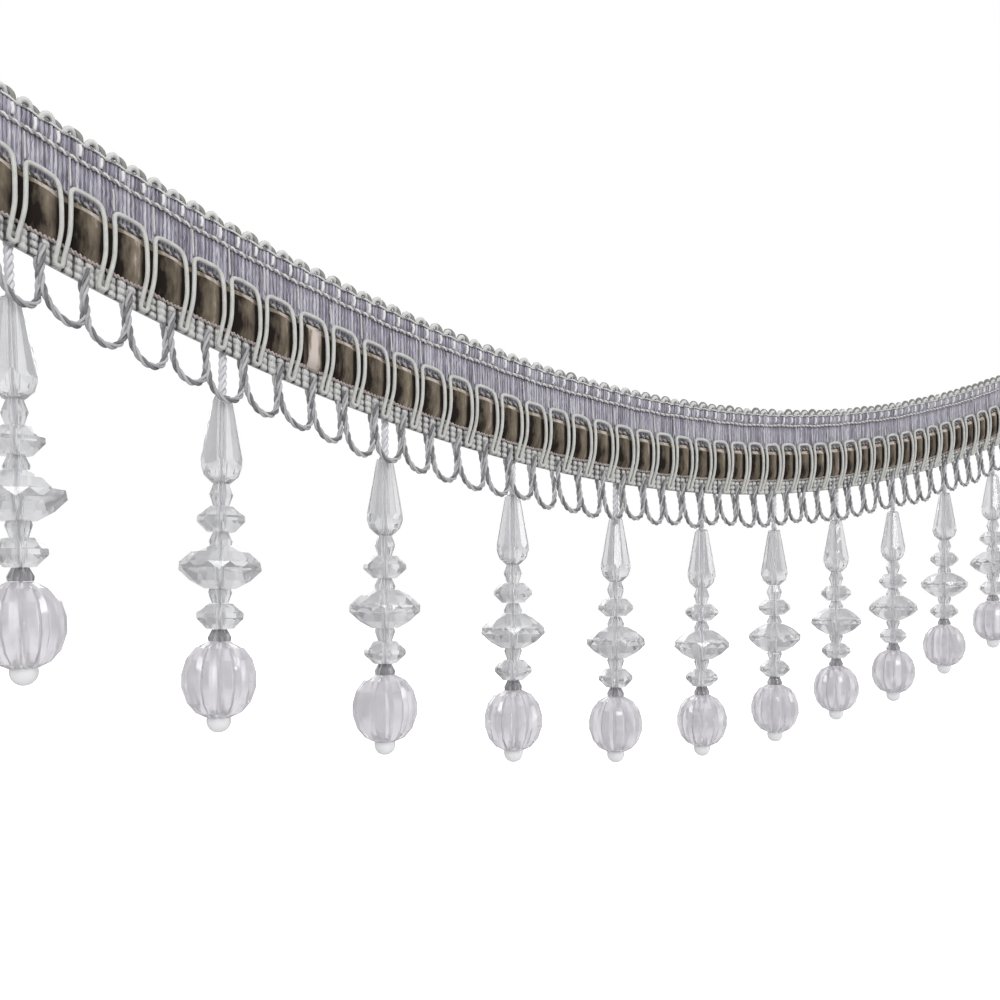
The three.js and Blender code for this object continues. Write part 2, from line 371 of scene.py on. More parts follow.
class Desk:
    """Adds and joins the nodes of one tree."""

    def __init__(self, tree: Tree) -> None:
        """Keeps the tree."""
        self.tree = tree

    def feed(self, target: Socket, value: object) -> None:
        """Joins an output to an input, or sets the input's plain value.

        Args:
            target: the input.
            value: an output or a plain value.
        """
        if isinstance(value, Socket):
            self.tree.links.new(value, target)
        else:
            target.default_value = value

    def add(self, kind: str, values: dict[str | int, object] | None = None, **settings: object) -> Node:
        """Adds a node.

        Args:
            kind: the node's type without its ShaderNode prefix.
            values: an output or a plain value for each of its inputs.
            settings: its own settings.

        Returns:
            The new node.
        """
        prefix = "" if kind.startswith("NodeGroup") else "ShaderNode"
        node = self.tree.nodes.new(prefix + kind)
        for name, value in settings.items():
            setattr(node, name, value)
        for name, value in (values or {}).items():
            self.feed(node.inputs[name], value)
        return node

    def math(self, operation: str, *terms: object) -> Socket:
        """Adds a sum of outputs or numbers and returns its result."""
        return self.add("Math", dict(enumerate(terms)), operation=operation).outputs[0]

    def weigh(self, *terms: tuple[Socket, float], plus: object = 0.0) -> Socket:
        """Adds outputs up, each times its weight.

        Args:
            terms: outputs with their weights.
            plus: an output or a number to add to them.

        Returns:
            The total.
        """
        total = plus
        for output, weight in terms:
            total = self.math("MULTIPLY_ADD", output, weight, total)
        return total

    def noise(self, place: Socket, scale: float, detail: float, roughness: float = 0.5) -> Socket:
        """Adds a noise over a place and returns it."""
        values = {"Vector": place, "Scale": scale, "Detail": detail, "Roughness": roughness}
        return self.add("TexNoise", values).outputs["Fac"]

    def ramp(self, factor: Socket, places: tuple[float, ...], colours: tuple[Triple, ...]) -> Socket:
        """Adds a colour ramp.

        Args:
            factor: what it runs over.
            places: where its stops are.
            colours: the colour of each stop.

        Returns:
            Its colour.
        """
        node = self.add("ValToRGB", {"Fac": factor})
        elements = node.color_ramp.elements
        while len(elements) < len(colours):
            elements.new(0.5)
        for element, place, colour in zip(elements, places, colours):
            element.position = place
            element.color = (*colour, 1.0)
        return node.outputs["Color"]


def new_group(name: str, values: dict[str, float]) -> tuple[Desk, Node, Node]:
    """Starts a shader node group that turns a place into a height and a tone.

    Args:
        name: the group's name.
        values: its other inputs with their plain values.

    Returns:
        A desk for its tree, its input node and its output node.
    """
    tree = bpy.data.node_groups.new(name, "ShaderNodeTree")
    tree.interface.new_socket(name="Vector", in_out="INPUT", socket_type="NodeSocketVector")
    for socket, value in values.items():
        made = tree.interface.new_socket(name=socket, in_out="INPUT", socket_type="NodeSocketFloat")
        made.default_value = value
    for socket in ("Height", "Tone"):
        tree.interface.new_socket(name=socket, in_out="OUTPUT", socket_type="NodeSocketFloat")
    desk = Desk(tree)
    return desk, desk.add("NodeGroupInput"), desk.add("NodeGroupOutput")


@lru_cache(maxsize=None)
def thread_rows() -> Tree:
    """The group for rows of threads across a pattern: their height and their uneven tone.

    Returns:
        The group's tree.
    """
    desk, source, target = new_group("thread_rows", {"Pitch": 0.45, "Run": 4.5})
    place = source.outputs["Vector"]
    split = desk.add("SeparateXYZ", {0: place})
    strayed = desk.weigh((desk.noise(place, 0.55, 1.0), 0.9), plus=split.outputs["X"])
    count = desk.math("DIVIDE", strayed, source.outputs["Pitch"])
    drift = desk.math("DIVIDE", split.outputs["Y"], source.outputs["Run"])
    wave = desk.math("SINE", desk.math("MULTIPLY", count, 2 * math.pi))
    desk.feed(target.inputs["Height"], desk.math("MULTIPLY_ADD", wave, 0.5, 0.5))
    spot = desk.add("CombineXYZ", {"X": count, "Y": drift}).outputs[0]
    desk.feed(target.inputs["Tone"], desk.noise(spot, 0.8, 2.0, 0.75))
    return desk.tree


@lru_cache(maxsize=None)
def cord_fibres() -> Tree:
    """The group for the fibres of a ply: fine streaks along it that close round it.

    Returns:
        The group's tree.
    """
    desk, source, target = new_group("cord_fibres", {"Streak": 1.5, "Fineness": 2.0})
    place, fineness = source.outputs["Vector"], source.outputs["Fineness"]
    split = desk.add("SeparateXYZ", {0: place})
    angle = desk.math("MULTIPLY", split.outputs["Y"], 2 * math.pi)
    spot = desk.add("CombineXYZ", {
        "X": desk.math("DIVIDE", split.outputs["X"], source.outputs["Streak"]),
        "Y": desk.math("MULTIPLY", desk.math("COSINE", angle), fineness),
        "Z": desk.math("MULTIPLY", desk.math("SINE", angle), fineness),
    })
    fibres = desk.noise(spot.outputs[0], 1.6, 4.0, 0.65)
    desk.feed(target.inputs["Height"], fibres)
    desk.feed(target.inputs["Tone"], desk.weigh((fibres, 0.65), (desk.noise(place, 0.35, 2.0), 0.35)))
    return desk.tree


def start_material(name: str, values: dict[str, object]) -> tuple[Material, Desk, Node]:
    """Makes a material.

    Args:
        name: its name.
        values: plain values for its shader's own sockets.

    Returns:
        The material, its desk and its principled shader.
    """
    material = bpy.data.materials.new(name)
    material.use_nodes = True
    shader = material.node_tree.nodes["Principled BSDF"]
    for socket, value in values.items():
        shader.inputs[socket].default_value = value
    return material, Desk(material.node_tree), shader


def add_bump(desk: Desk, shader: Node, height: Socket, strength: float, distance: float) -> None:
    """Feeds a height to the shader's normal."""
    bump = desk.add("Bump", {"Strength": strength, "Distance": distance, "Height": height})
    desk.feed(shader.inputs["Normal"], bump.outputs["Normal"])


@dataclass(frozen=True)
class TextileFinish:
    """What the textiles share: three colours over the shade of a pattern, and its relief.

    STOPS are the places of the three colours, VALUES the shader's plain values, BUMP the strength
    and distance of the relief, and WEIGHTS what each part of a pattern adds, after the plain shade.

    Args:
        name: the material's name.
        dark: colour of the deepest places.
        middle: colour of the common places.
        light: colour of the lightest places.
    """

    STOPS: ClassVar[Triple] = (0.12, 0.5, 0.88)
    VALUES: ClassVar[dict[str, object]] = {"Roughness": 0.55, "Sheen Weight": 0.25}
    BUMP: ClassVar[tuple[float, float]] = (0.55, 0.12 * MM)
    WEIGHTS: ClassVar[tuple[float, ...]] = (0.0,)

    name: str
    dark: Triple
    middle: Triple
    light: Triple

    def pattern(self, desk: Desk, place: Socket, tone: Socket) -> tuple[Socket, Socket]:
        """Makes the pattern, each finish its own.

        Args:
            desk: the material's desk.
            place: the place in the pattern, in millimetres.
            tone: the tone that the mesh has there.

        Returns:
            The shade and the height.
        """
        raise NotImplementedError

    @lru_cache(maxsize=None)
    def material(self) -> Material:
        """Makes the material once.

        Returns:
            The material.
        """
        material, desk, shader = start_material(self.name, self.VALUES)
        place = desk.add("UVMap", uv_map="pattern").outputs["UV"]
        tone = desk.add("Attribute", attribute_name="tone").outputs["Fac"]
        shade, height = self.pattern(desk, place, tone)
        colour = desk.ramp(shade, self.STOPS, (self.dark, self.middle, self.light))
        desk.feed(shader.inputs["Base Color"], colour)
        add_bump(desk, shader, height, *self.BUMP)
        return material


@dataclass(frozen=True)
class CordFinish(TextileFinish):
    """A twisted cord: fibres along each ply, plies of different shade.

    Args:
        streak: length of a fibre streak in millimetres.
    """

    WEIGHTS: ClassVar[tuple[float, ...]] = (-0.22, 0.9, 0.55)

    streak: float = 1.5

    def pattern(self, desk: Desk, place: Socket, tone: Socket) -> tuple[Socket, Socket]:
        """Lays the fibres.

        Args:
            desk: the material's desk.
            place: the place in the pattern, in millimetres.
            tone: the ply's tone.

        Returns:
            The shade and the height.
        """
        plain, fibre, own = self.WEIGHTS
        values = {"Vector": place, "Streak": self.streak}
        fibres = desk.add("Group", values, node_tree=cord_fibres()).outputs
        return desk.weigh((fibres["Tone"], fibre), (tone, own), plus=plain), fibres["Height"]


@dataclass(frozen=True)
class WeaveFinish(TextileFinish):
    """A fine woven tape of upright silky threads.

    Args:
        pitch: width of a thread in millimetres.
        relief: how much the mesh's tone counts: a raised thread is painted lighter and the gaps between
            threads are painted shade.
    """

    STOPS: ClassVar[Triple] = (0.3, 0.52, 0.78)
    VALUES: ClassVar[dict[str, object]] = {"Roughness": 0.5, "Sheen Weight": 0.2}
    BUMP: ClassVar[tuple[float, float]] = (0.6, 0.12 * MM)
    WEIGHTS: ClassVar[tuple[float, ...]] = (-0.5, 0.95, 0.12)

    pitch: float = 0.45
    relief: float = 0.3

    def pattern(self, desk: Desk, place: Socket, tone: Socket) -> tuple[Socket, Socket]:
        """Lays the threads, painted lighter where the mesh raises them and painted darker in the gaps
        between them.

        Args:
            desk: the material's desk.
            place: the place in the pattern, in millimetres.
            tone: how raised it is, with painted shade in the gaps and valleys.

        Returns:
            The shade and the height.
        """
        rows = desk.add("Group", {"Vector": place, "Pitch": self.pitch}, node_tree=thread_rows()).outputs
        plain, own, height = self.WEIGHTS
        terms = (rows["Tone"], own), (rows["Height"], height), (tone, self.relief)
        return desk.weigh(*terms, plus=plain * self.relief), rows["Height"]


@dataclass(frozen=True)
class VelvetFinish(TextileFinish):
    """Velvet pile: blotches of nap, a fine grain and a sheen; its light colour is the bare selvage."""

    STOPS: ClassVar[Triple] = (0.05, 0.7, 1.0)
    VALUES: ClassVar[dict[str, object]] = {
        "Roughness": 0.9, "Specular IOR Level": 0.15, "Sheen Weight": 0.08, "Sheen Roughness": 0.4,
        "Sheen Tint": (0.85, 0.78, 0.68, 1.0),
    }
    BUMP: ClassVar[tuple[float, float]] = (0.5, 0.15 * MM)
    WEIGHTS: ClassVar[tuple[float, ...]] = (-0.66, 1.1, 0.25, 0.75)
    BRUSHED: ClassVar[Triple] = (0.75, 0.2, 1.0)
    GRAIN: ClassVar[float] = 7.0

    def pattern(self, desk: Desk, place: Socket, tone: Socket) -> tuple[Socket, Socket]:
        """Brushes the nap in upright blotches.

        Args:
            desk: the material's desk.
            place: the place in the pattern, in millimetres.
            tone: the mesh's tone, mostly painted light and shade on the pile.

        Returns:
            The shade and the height.
        """
        upright = desk.add("Mapping", {"Vector": place, "Scale": self.BRUSHED})
        blotch = desk.noise(upright.outputs["Vector"], 1.0, 3.0, 0.6)
        grain = desk.noise(place, self.GRAIN, 2.0)
        # the mesh's tone brings painted light and painted shade into the pile's shade
        plain, nap, fine, painted_light_weight = self.WEIGHTS
        return desk.weigh((blotch, nap), (grain, fine), (tone, painted_light_weight), plus=plain), grain


@dataclass(frozen=True)
class AcrylicFinish:
    """Clear moulded acrylic with faint clouds of tint and soft moulding ripples.

    INDEX is its index of refraction, CLOUDS and RIPPLES are how many there are to a metre, STOPS
    the places of the two colours, and BUMP the strength and distance of the ripples.

    Args:
        name: the material's name.
        clear: colour of its clearest places.
        cloudy: colour of its cloudy places.
        transmission: how much light passes through.
        roughness: of its faces.
        painted_glow: emission that brightens it as painted light, though it is no lamp.
    """

    INDEX: ClassVar[float] = 1.49
    CLOUDS: ClassVar[float] = 260.0
    RIPPLES: ClassVar[float] = 420.0
    STOPS: ClassVar[tuple[float, float]] = (0.35, 0.65)
    BUMP: ClassVar[tuple[float, float]] = (0.12, 0.4 * MM)

    name: str
    clear: Triple
    cloudy: Triple
    transmission: float
    roughness: float = 0.04
    painted_glow: float = 0.0

    @lru_cache(maxsize=None)
    def material(self) -> Material:
        """Makes the material once.

        Returns:
            The material.
        """
        material, desk, shader = start_material(self.name, {
            "Roughness": self.roughness, "IOR": self.INDEX, "Transmission Weight": self.transmission,
            "Emission Color": WHITE, "Emission Strength": self.painted_glow,
        })
        place = desk.add("TexCoord").outputs["Object"]
        clouds = desk.noise(place, self.CLOUDS, 2.0)
        colour = desk.ramp(clouds, self.STOPS, (self.cloudy, self.clear))
        desk.feed(shader.inputs["Base Color"], colour)
        add_bump(desk, shader, desk.noise(place, self.RIPPLES, 1.0), *self.BUMP)
        return material


# The weaves' dark colours are painted shade in the gaps between threads and checks.
HEADING_WEAVE = WeaveFinish(
    "heading_weave", (0.085, 0.075, 0.105), (0.245, 0.232, 0.29), (0.55, 0.54, 0.58), pitch=0.4, relief=0.55)
FOOT_WEAVE = WeaveFinish(
    "foot_weave", (0.05, 0.042, 0.045), (0.31, 0.31, 0.30), (0.58, 0.585, 0.56), pitch=0.6, relief=1.0)
# The picot cord's dark colour is painted shade on the picots' right sides.
PICOT_CORD = CordFinish("picot_cord", (0.04, 0.035, 0.026), (0.32, 0.32, 0.30), (0.66, 0.67, 0.65))
CHAIN_THREAD = CordFinish("chain_thread", (0.12, 0.11, 0.10), (0.44, 0.43, 0.41), (0.84, 0.83, 0.82))
DARK_ROW = CordFinish("dark_row", (0.015, 0.012, 0.012), (0.19, 0.185, 0.185), (0.52, 0.51, 0.49))
GIMP_CORD = CordFinish("gimp_cord", (0.16, 0.15, 0.135), (0.53, 0.53, 0.50), (0.78, 0.79, 0.76), streak=2.0)
# The loop cord's dark colour, on its third ply, is painted shade in the cord's grooves.
LOOP_CORD = CordFinish(
    "loop_cord", (0.05, 0.048, 0.05), (0.33, 0.325, 0.335), (0.58, 0.58, 0.585), streak=2.5)
RIBBON_EDGE = CordFinish("ribbon_edge", (0.22, 0.17, 0.165), (0.42, 0.35, 0.34), (0.60, 0.53, 0.52))
# The velvet's dark colour is mostly reached where painted shade falls beside the legs and under the puffs.
VELVET = VelvetFinish("velvet_pile", (0.014, 0.01, 0.008), (0.212, 0.175, 0.128), (0.58, 0.51, 0.46))
BEAD_THREAD = CordFinish(
    "bead_thread", (0.36, 0.36, 0.39), (0.64, 0.64, 0.67), (0.90, 0.90, 0.92), streak=1.0)
CLEAR_BEAD = AcrylicFinish("clear_bead", (0.985, 0.985, 0.99), (0.93, 0.93, 0.945), 0.8, roughness=0.06)
MELON_BEAD = AcrylicFinish("melon_bead", (0.98, 0.965, 0.985), (0.92, 0.90, 0.93), 0.7, roughness=0.07)
GREY_BEAD = AcrylicFinish("grey_bead", (0.70, 0.69, 0.71), (0.50, 0.49, 0.51), 0.8)
# painted light: the stopper glows a little so that it reads whiter
STOPPER_BEAD = AcrylicFinish(
    "stopper_bead", (0.98, 0.98, 0.985), (0.94, 0.94, 0.95), 0.25, roughness=0.15, painted_glow=0.03)


@dataclass
class Heading:
    """The woven heading with its picot edge, chain thread and stitches.

    Args:
        swag: the line that it hangs in.
        bottom: height of its lower edge.
        top: height of the weave under the picots.
        thickness: of the tape.
        ribs: raised threads to a window.
        rib_columns: columns of the mesh to a rib.
        rib_height: how far they are raised.
        rib_drift: how far a rib strays.
        drift_wave: length up the band of a radian of that stray.
        drift_spread: how far the ribs are out of step in it, in radians.
        rows: rows of the mesh.
        tape_seed: start of the tape's random draws.
        rib_tones: range of a rib's own tone.
        tape_tones: a rib's tone is this plain tone and shares of its own, of its roundness, which paints
            shade in the gaps between ribs, and of the valley, which paints shade under the chain thread.
        valley: how deep the tape is drawn in under the chain thread.
        valley_width: half the width of that valley.
        picots: picots to a window.
        picot_low: height of the picot cord's ends.
        picot_high: height of the picot cord's middle.
        picot_half: half the width of a picot.
        picot_arc: where a picot's arc starts and ends, in half turns, and its places.
        picot_out: how far the picots are in front of the tape's middle.
        picot_stray: how far a picot strays along the band, in millimetres.
        picot_rises: range of a picot's rise, as a share of the common one.
        picot_lean: how far its left end comes forward of its middle.
        picot_cord: how a picot's cord is laid up; its fade and its darker second ply paint shade on each
            picot's right side.
        picot_turn: twist of a picot's cord at its start, in radians, which brings the darker ply to the
            front at the right as painted shade.
        picot_twist: how far that twist strays.
        picot_seed: start of the picots' random draws.
        thread_out: how far the threads lie off the tape.
        thread_seed: start of the threads' random draws.
        chain_height: height of the chain thread.
        chain_sways: how far it sways, and the length of a radian of that sway.
        dash_height: height of the tops of the dashes under the picots.
        dash_place: place of a dash under its picot, as a share of the picot's width.
        dash_lean: how far a dash leans, in millimetres.
        dash_drop: how far its top strays down, in millimetres.
        dash_lengths: range of its length, in millimetres.
        dash_bow: how far its middle stands out and its foot is sunk.
        row_height: height of the pale thread under the picots.
        row_rise: how far that thread rises under each picot.
        row_out: how far it stands out.
        tie_place: place of a tie in its window, in millimetres.
        tie_stray: how far it strays along the band, in millimetres.
        tie_drops: range of its top below the chain thread, in millimetres.
        tie_heights: heights of the middle and the foot of a tie.
        tie_bow: how far its middle is to the right.
        tie_outs: how far its middle and its foot stand out.
        chain_cord: how the chain thread is laid up.
        row_cord: the pale thread.
        dash: the thread of a dash.
        tie: the thread of a tie.
    """

    swag: Swag
    bottom: float = 14.6 * MM
    top: float = 28.2 * MM
    thickness: float = 1.2 * MM
    ribs: int = 10
    rib_columns: int = 4
    rib_height: float = 0.2 * MM
    rib_drift: float = 0.05 * MM
    drift_wave: float = 1.7 * MM
    drift_spread: float = 7.0
    rows: int = 12
    tape_seed: int = 11
    rib_tones: tuple[float, float] = (0.1, 0.9)
    tape_tones: tuple[float, float, float, float] = (-0.12, 0.6, 0.55, -0.35)
    valley: float = 0.25 * MM
    valley_width: float = 0.8 * MM
    picots: int = 2
    picot_low: float = 27.6 * MM
    picot_high: float = 28.95 * MM
    picot_half: float = 1.5 * MM
    picot_arc: tuple[float, float, int] = (-0.05, 1.05, 7)
    picot_out: float = 0.25 * MM
    picot_stray: float = 0.12
    picot_rises: tuple[float, float] = (0.88, 1.12)
    picot_lean: float = 0.45 * MM
    # painted shade: the fade and the darker second ply darken each picot towards its right end
    picot_cord: Cord = Cord(2, 0.58 * MM, 6.0 * MM, (1.15, 0.3), sides=8, step=0.36 * MM, fade=0.15)
    picot_turn: float = -1.7
    picot_twist: float = 0.5
    picot_seed: int = 31
    thread_out: float = 0.1 * MM
    thread_seed: int = 5
    chain_height: float = 23.9 * MM
    chain_sways: tuple[tuple[float, float], ...] = ((0.12 * MM, 2.1 * MM), (0.1 * MM, 7.3 * MM))
    dash_height: float = 27.1 * MM
    dash_place: float = 0.78
    dash_lean: float = 0.15
    dash_drop: float = 0.2
    dash_lengths: tuple[float, float] = (1.9, 2.5)
    dash_bow: float = 0.2 * MM
    row_height: float = 27.35 * MM
    row_rise: float = 0.35 * MM
    row_out: float = 0.15 * MM
    tie_place: float = 1.25
    tie_stray: float = 0.2
    tie_drops: tuple[float, float] = (0.4, 1.8)
    tie_heights: tuple[float, float] = (20.6 * MM, 17.4 * MM)
    tie_bow: float = 0.12 * MM
    tie_outs: tuple[float, float] = (0.05 * MM, 0.5 * MM)
    chain_cord: Cord = Cord(2, 0.26 * MM, 2.27 * MM, (0.95, 0.3), sides=6, step=0.42 * MM)
    row_cord: Cord = Cord(1, 0.2 * MM, 1 * MM, (0.9,), sides=6, step=0.4 * MM)
    dash: Cord = Cord(1, 0.36 * MM, 1 * MM, (1.1,), sides=7, step=0.4 * MM)
    tie: Cord = Cord(1, 0.21 * MM, 1 * MM, (0.7,), sides=6, step=0.8 * MM)

    def build(self) -> list[Piece]:
        """Makes the heading's pieces."""
        return [self.build_tape(), self.build_picots(), self.build_threads()]

    def build_tape(self) -> Piece:
        """Makes the woven tape, its threads raised in uneven upright ribs.

        Returns:
            The tape.
        """
        swag = self.swag
        columns = swag.windows * self.ribs * self.rib_columns + 1
        along, up = swag.spread(columns), np.linspace(self.bottom, self.top, self.rows)
        random = np.random.default_rng(self.tape_seed)
        rib_tone = random.uniform(*self.rib_tones, columns // self.rib_columns + 1)
        rib_tone = np.repeat(rib_tone, self.rib_columns)[:columns, None]
        wave = np.abs(np.sin(np.arange(columns) * math.pi / self.rib_columns))[:, None]
        height = up[None, :]
        drift = self.rib_drift * np.sin(height / self.drift_wave + self.drift_spread * rib_tone)
        valley = np.exp(-(((height - self.chain_height) / self.valley_width) ** 2))
        raised = self.rib_height * (wave * (0.5 + rib_tone) - 1)
        out = self.thickness + raised + drift - self.valley * valley
        # painted shade: the tone darkens in the gaps between the ribs and in the valley under the chain
        # thread
        plain, own, painted_rib_shade, sunk = self.tape_tones
        tone = np.clip(own * rib_tone + painted_rib_shade * wave + plain + sunk * valley, 0, 1)
        draft = Draft()
        add_slab(draft, swag, along, up, out, tone, 0.0)
        tape = draft.build("heading_weave_tape", HEADING_WEAVE.material())
        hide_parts("heading_tape")
        return tape

    def build_picots(self) -> Piece:
        """Makes the row of small thick picots along the top edge.

        Returns:
            The picots.
        """
        swag = self.swag
        count = swag.windows * self.picots
        width = swag.pitch / self.picots
        middle = self.thickness / 2 + self.picot_out
        angle = np.linspace(*self.picot_arc) * math.pi
        random = np.random.default_rng(self.picot_seed)
        draft = Draft()
        for picot in range(count):
            centre = (picot + 0.5) * width - swag.half_length + stray(random, self.picot_stray) * MM
            rise = (self.picot_high - self.picot_low) * random.uniform(*self.picot_rises)
            along = centre - self.picot_half * np.cos(angle)
            up = self.picot_low + rise * np.sin(angle)
            out = middle + self.picot_lean * np.cos(angle)
            flat = smooth_path(np.stack([along, up, out], 1), self.picot_cord.step)
            turn = self.picot_turn + stray(random, self.picot_twist)
            self.picot_cord.lay_up(draft, swag.hang(flat), turn=turn)
        picots = draft.build("picot_edge", PICOT_CORD.material())
        return picots

    def stitch(self, draft: Draft, cord: Cord, places: list[Triple]) -> None:
        """Lays a short thread through flat places."""
        cord.lay_up(draft, self.swag.hang(smooth_path(np.array(places), cord.step)))

    def build_threads(self) -> Piece:
        """Makes the chain thread, the fine row, the dashes under the picots and the ties.

        Returns:
            The threads in one piece.
        """
        swag = self.swag
        draft = Draft()
        surface = self.thickness + self.thread_out
        random = np.random.default_rng(self.thread_seed)
        along = swag.spread(round(2 * swag.half_length / self.chain_cord.step) + 1)
        level = np.full(len(along), surface)
        sway = sum(most * np.sin(along / wave) for most, wave in self.chain_sways)
        self.chain_cord.lay_up(draft, swag.hang(np.stack([along, self.chain_height + sway, level], 1)))
        rise = self.row_rise * np.abs(np.sin(np.pi * swag.passed(along) * self.picots))
        row = np.stack([along, self.row_height + rise, level + self.row_out], 1)
        self.row_cord.lay_up(draft, swag.hang(row))
        for picot in range(swag.windows * self.picots):
            left = (picot + self.dash_place) * swag.pitch / self.picots - swag.half_length
            lean = stray(random, self.dash_lean) * MM
            top = self.dash_height - random.uniform(0.0, self.dash_drop) * MM
            low = top - random.uniform(*self.dash_lengths) * MM
            self.stitch(draft, self.dash, [
                (left, top, surface), (left + lean, (top + low) / 2, surface + self.dash_bow),
                (left + lean, low, surface - self.dash_bow)])
        middle, low = self.tie_heights
        middle_out, low_out = self.tie_outs
        for window in range(swag.windows):
            left = swag.window_left(window) + (self.tie_place + stray(random, self.tie_stray)) * MM
            high = self.chain_height - random.uniform(*self.tie_drops) * MM
            self.stitch(draft, self.tie, [
                (left, high, surface), (left + self.tie_bow, middle, surface + middle_out),
                (left, low, surface + low_out)])
        threads = draft.build("heading_chain_threads", CHAIN_THREAD.material())
        return threads


@dataclass
class Ribbon:
    """The velvet ribbon, puffed in each window, in two lengths that meet in one window.

    Args:
        swag: the line that it hangs in.
        bottom: height of its lower edge.
        top: height of its upper edge.
        back: height of its back.
        edge_out: height of its face at its edges.
        crown_out: height of its face along its middle.
        puff: extra height in the middle of a window.
        ranges: range of each window's own puff, strength of painted light, and slant, as shares of the
            common ones.
        bulge_foot: where the bulge starts and is full, as shares of the width.
        bulge_head: where it starts to fall and ends.
        bulge_fall: how far it falls there.
        dome: where a window's puff starts, is full, starts to fall and ends.
        lit: the same for the painted light on its pile, which leaves painted shade beside the legs.
        tones: plain tone of the pile, and what the painted light and the slant of a window add.
        low_shadow: how much painted shadow darkens a window low down, at most.
        low_shadow_place: middle and reach of that painted shadow, as shares of the width.
        selvage: where the bare selvage starts and is full, as shares of the width.
        selvage_tones: its plain tone, and what the painted light adds.
        join: place of the join, in windows from the middle.
        join_gap: how far past the join the left length ends; the right one starts halfway.
        lap: length of the bare end that laps at the join.
        lap_fray: share of the lap where its end starts.
        lap_out: how far the lap stands out.
        lap_tones: its plain tone and how far its rows differ.
        lap_wave: length of a radian of its rows.
        tuck: how far before the join the left length starts to sink and is sunk.
        tuck_sink: how far it sinks, as a share of its height.
        tuck_tone: tone of the shadow there.
        seed: start of the random draws.
        columns: columns to a window.
        rows: places of its rows, as shares of the width.
        row_rise: how far the dark row is above its upper edge.
        row_out: how far the threads lie off its edge.
        row_sway: how far they sway, and the length of a radian of that sway.
        edge_cord: the thread along its lower edge.
        row_cord: the dark row.
    """

    swag: Swag
    bottom: float = 4.75 * MM
    top: float = 14.75 * MM
    back: float = 0.1 * MM
    edge_out: float = 1.35 * MM
    crown_out: float = 1.9 * MM
    puff: float = 1.15 * MM
    ranges: tuple[float, float] = (0.8, 1.2)
    bulge_foot: tuple[float, float] = (-0.08, 0.2)
    bulge_head: tuple[float, float] = (0.86, 0.95)
    bulge_fall: float = 0.7
    dome: tuple[float, float, float, float] = (0.12, 0.42, 0.62, 0.88)
    lit: tuple[float, float, float, float] = (0.1, 0.72, 0.77, 0.86)
    tones: Triple = (-0.12, 0.95, 0.5)
    low_shadow: float = 0.34
    low_shadow_place: tuple[float, float] = (0.3, 0.16)
    selvage: tuple[float, float] = (0.87, 0.9)
    selvage_tones: tuple[float, float] = (0.75, 0.6)
    join: float = -14.7
    join_gap: float = 0.5 * MM
    lap: float = 4.4 * MM
    lap_fray: float = 0.75
    lap_out: float = 0.3 * MM
    lap_tones: tuple[float, float] = (1.3, 0.25)
    lap_wave: float = 0.5 * MM
    tuck: tuple[float, float] = (2.2 * MM, 1.8 * MM)
    tuck_sink: float = 0.65
    tuck_tone: float = -0.5
    seed: int = 23
    columns: int = 16
    rows: tuple[float, ...] = (0, 0.035, 0.07, 0.12, 0.22, 0.34, 0.46, 0.58, 0.7, 0.8, 0.87, 0.9, 0.95, 1.0)
    row_rise: float = 0.75 * MM
    row_out: float = 0.1 * MM
    row_sway: tuple[float, float] = (0.1 * MM, 3.1 * MM)
    edge_cord: Cord = Cord(2, 0.28 * MM, 1.8 * MM, (0.75, 0.45), sides=6, step=0.5 * MM)
    row_cord: Cord = Cord(2, 0.3 * MM, 2.0 * MM, (0.85, 0.0), sides=6, step=0.42 * MM)

    def build(self) -> list[Piece]:
        """Makes the ribbon's two lengths, its edge thread and the dark row over it.

        Returns:
            The four pieces.
        """
        end = self.swag.half_length
        seam = self.join * self.swag.pitch
        left = self.build_length("velvet_ribbon_first", -end, seam + self.join_gap, "velvet_ribbon_left")
        start = seam + self.join_gap / 2
        right = self.build_length("velvet_ribbon_second", start, end, "velvet_ribbon_right")
        edge = self.build_row("velvet_edge_thread", self.edge_cord, self.bottom, RIBBON_EDGE)
        row = self.build_row("arch_row_cord", self.row_cord, self.top + self.row_rise, DARK_ROW)
        return [left, right, edge, row]

    def build_length(self, name: str, start: float, end: float, node: str) -> Piece:
        """Makes one length of the ribbon.

        Args:
            name: the piece's name.
            start: where it starts along the band.
            end: where it ends.
            node: the solid that it stands for.

        Returns:
            The piece.
        """
        swag = self.swag
        along = np.linspace(start, end, max(3, round((end - start) / swag.pitch * self.columns) + 1))
        rise = np.array(self.rows)
        up = self.bottom + (self.top - self.bottom) * rise
        across = swag.passed(along) % 1.0
        window = np.clip(whole(swag.passed(along)), 0, swag.windows - 1)
        random = np.random.default_rng(self.seed)
        lift, shade, slant = random.uniform(*self.ranges, (3, swag.windows))[:, window, None]
        low_shadow = random.uniform(0.0, self.low_shadow, swag.windows)[window, None]
        fall = 1 - self.bulge_fall * ease(rise, *self.bulge_head)
        bulge = (ease(rise, *self.bulge_foot) * fall)[None, :]
        dome = hill(across, *self.dome)[:, None]
        out = self.edge_out + (self.crown_out - self.edge_out) * bulge + self.puff * lift * dome * bulge
        # painted light: the tone is lighter in the middle of each window and darker by the legs, as painted
        # shade
        lit = hill(across, *self.lit)[:, None]
        plain, light, tilt = self.tones
        tone = light * lit * shade + plain + tilt * (rise[None, :] - 0.5) * (slant - 1.0)
        # painted shadow: each window is darker low down, at its own strength
        low, reach = self.low_shadow_place
        tone = tone - low_shadow * np.exp(-(((rise[None, :] - low) / reach) ** 2))
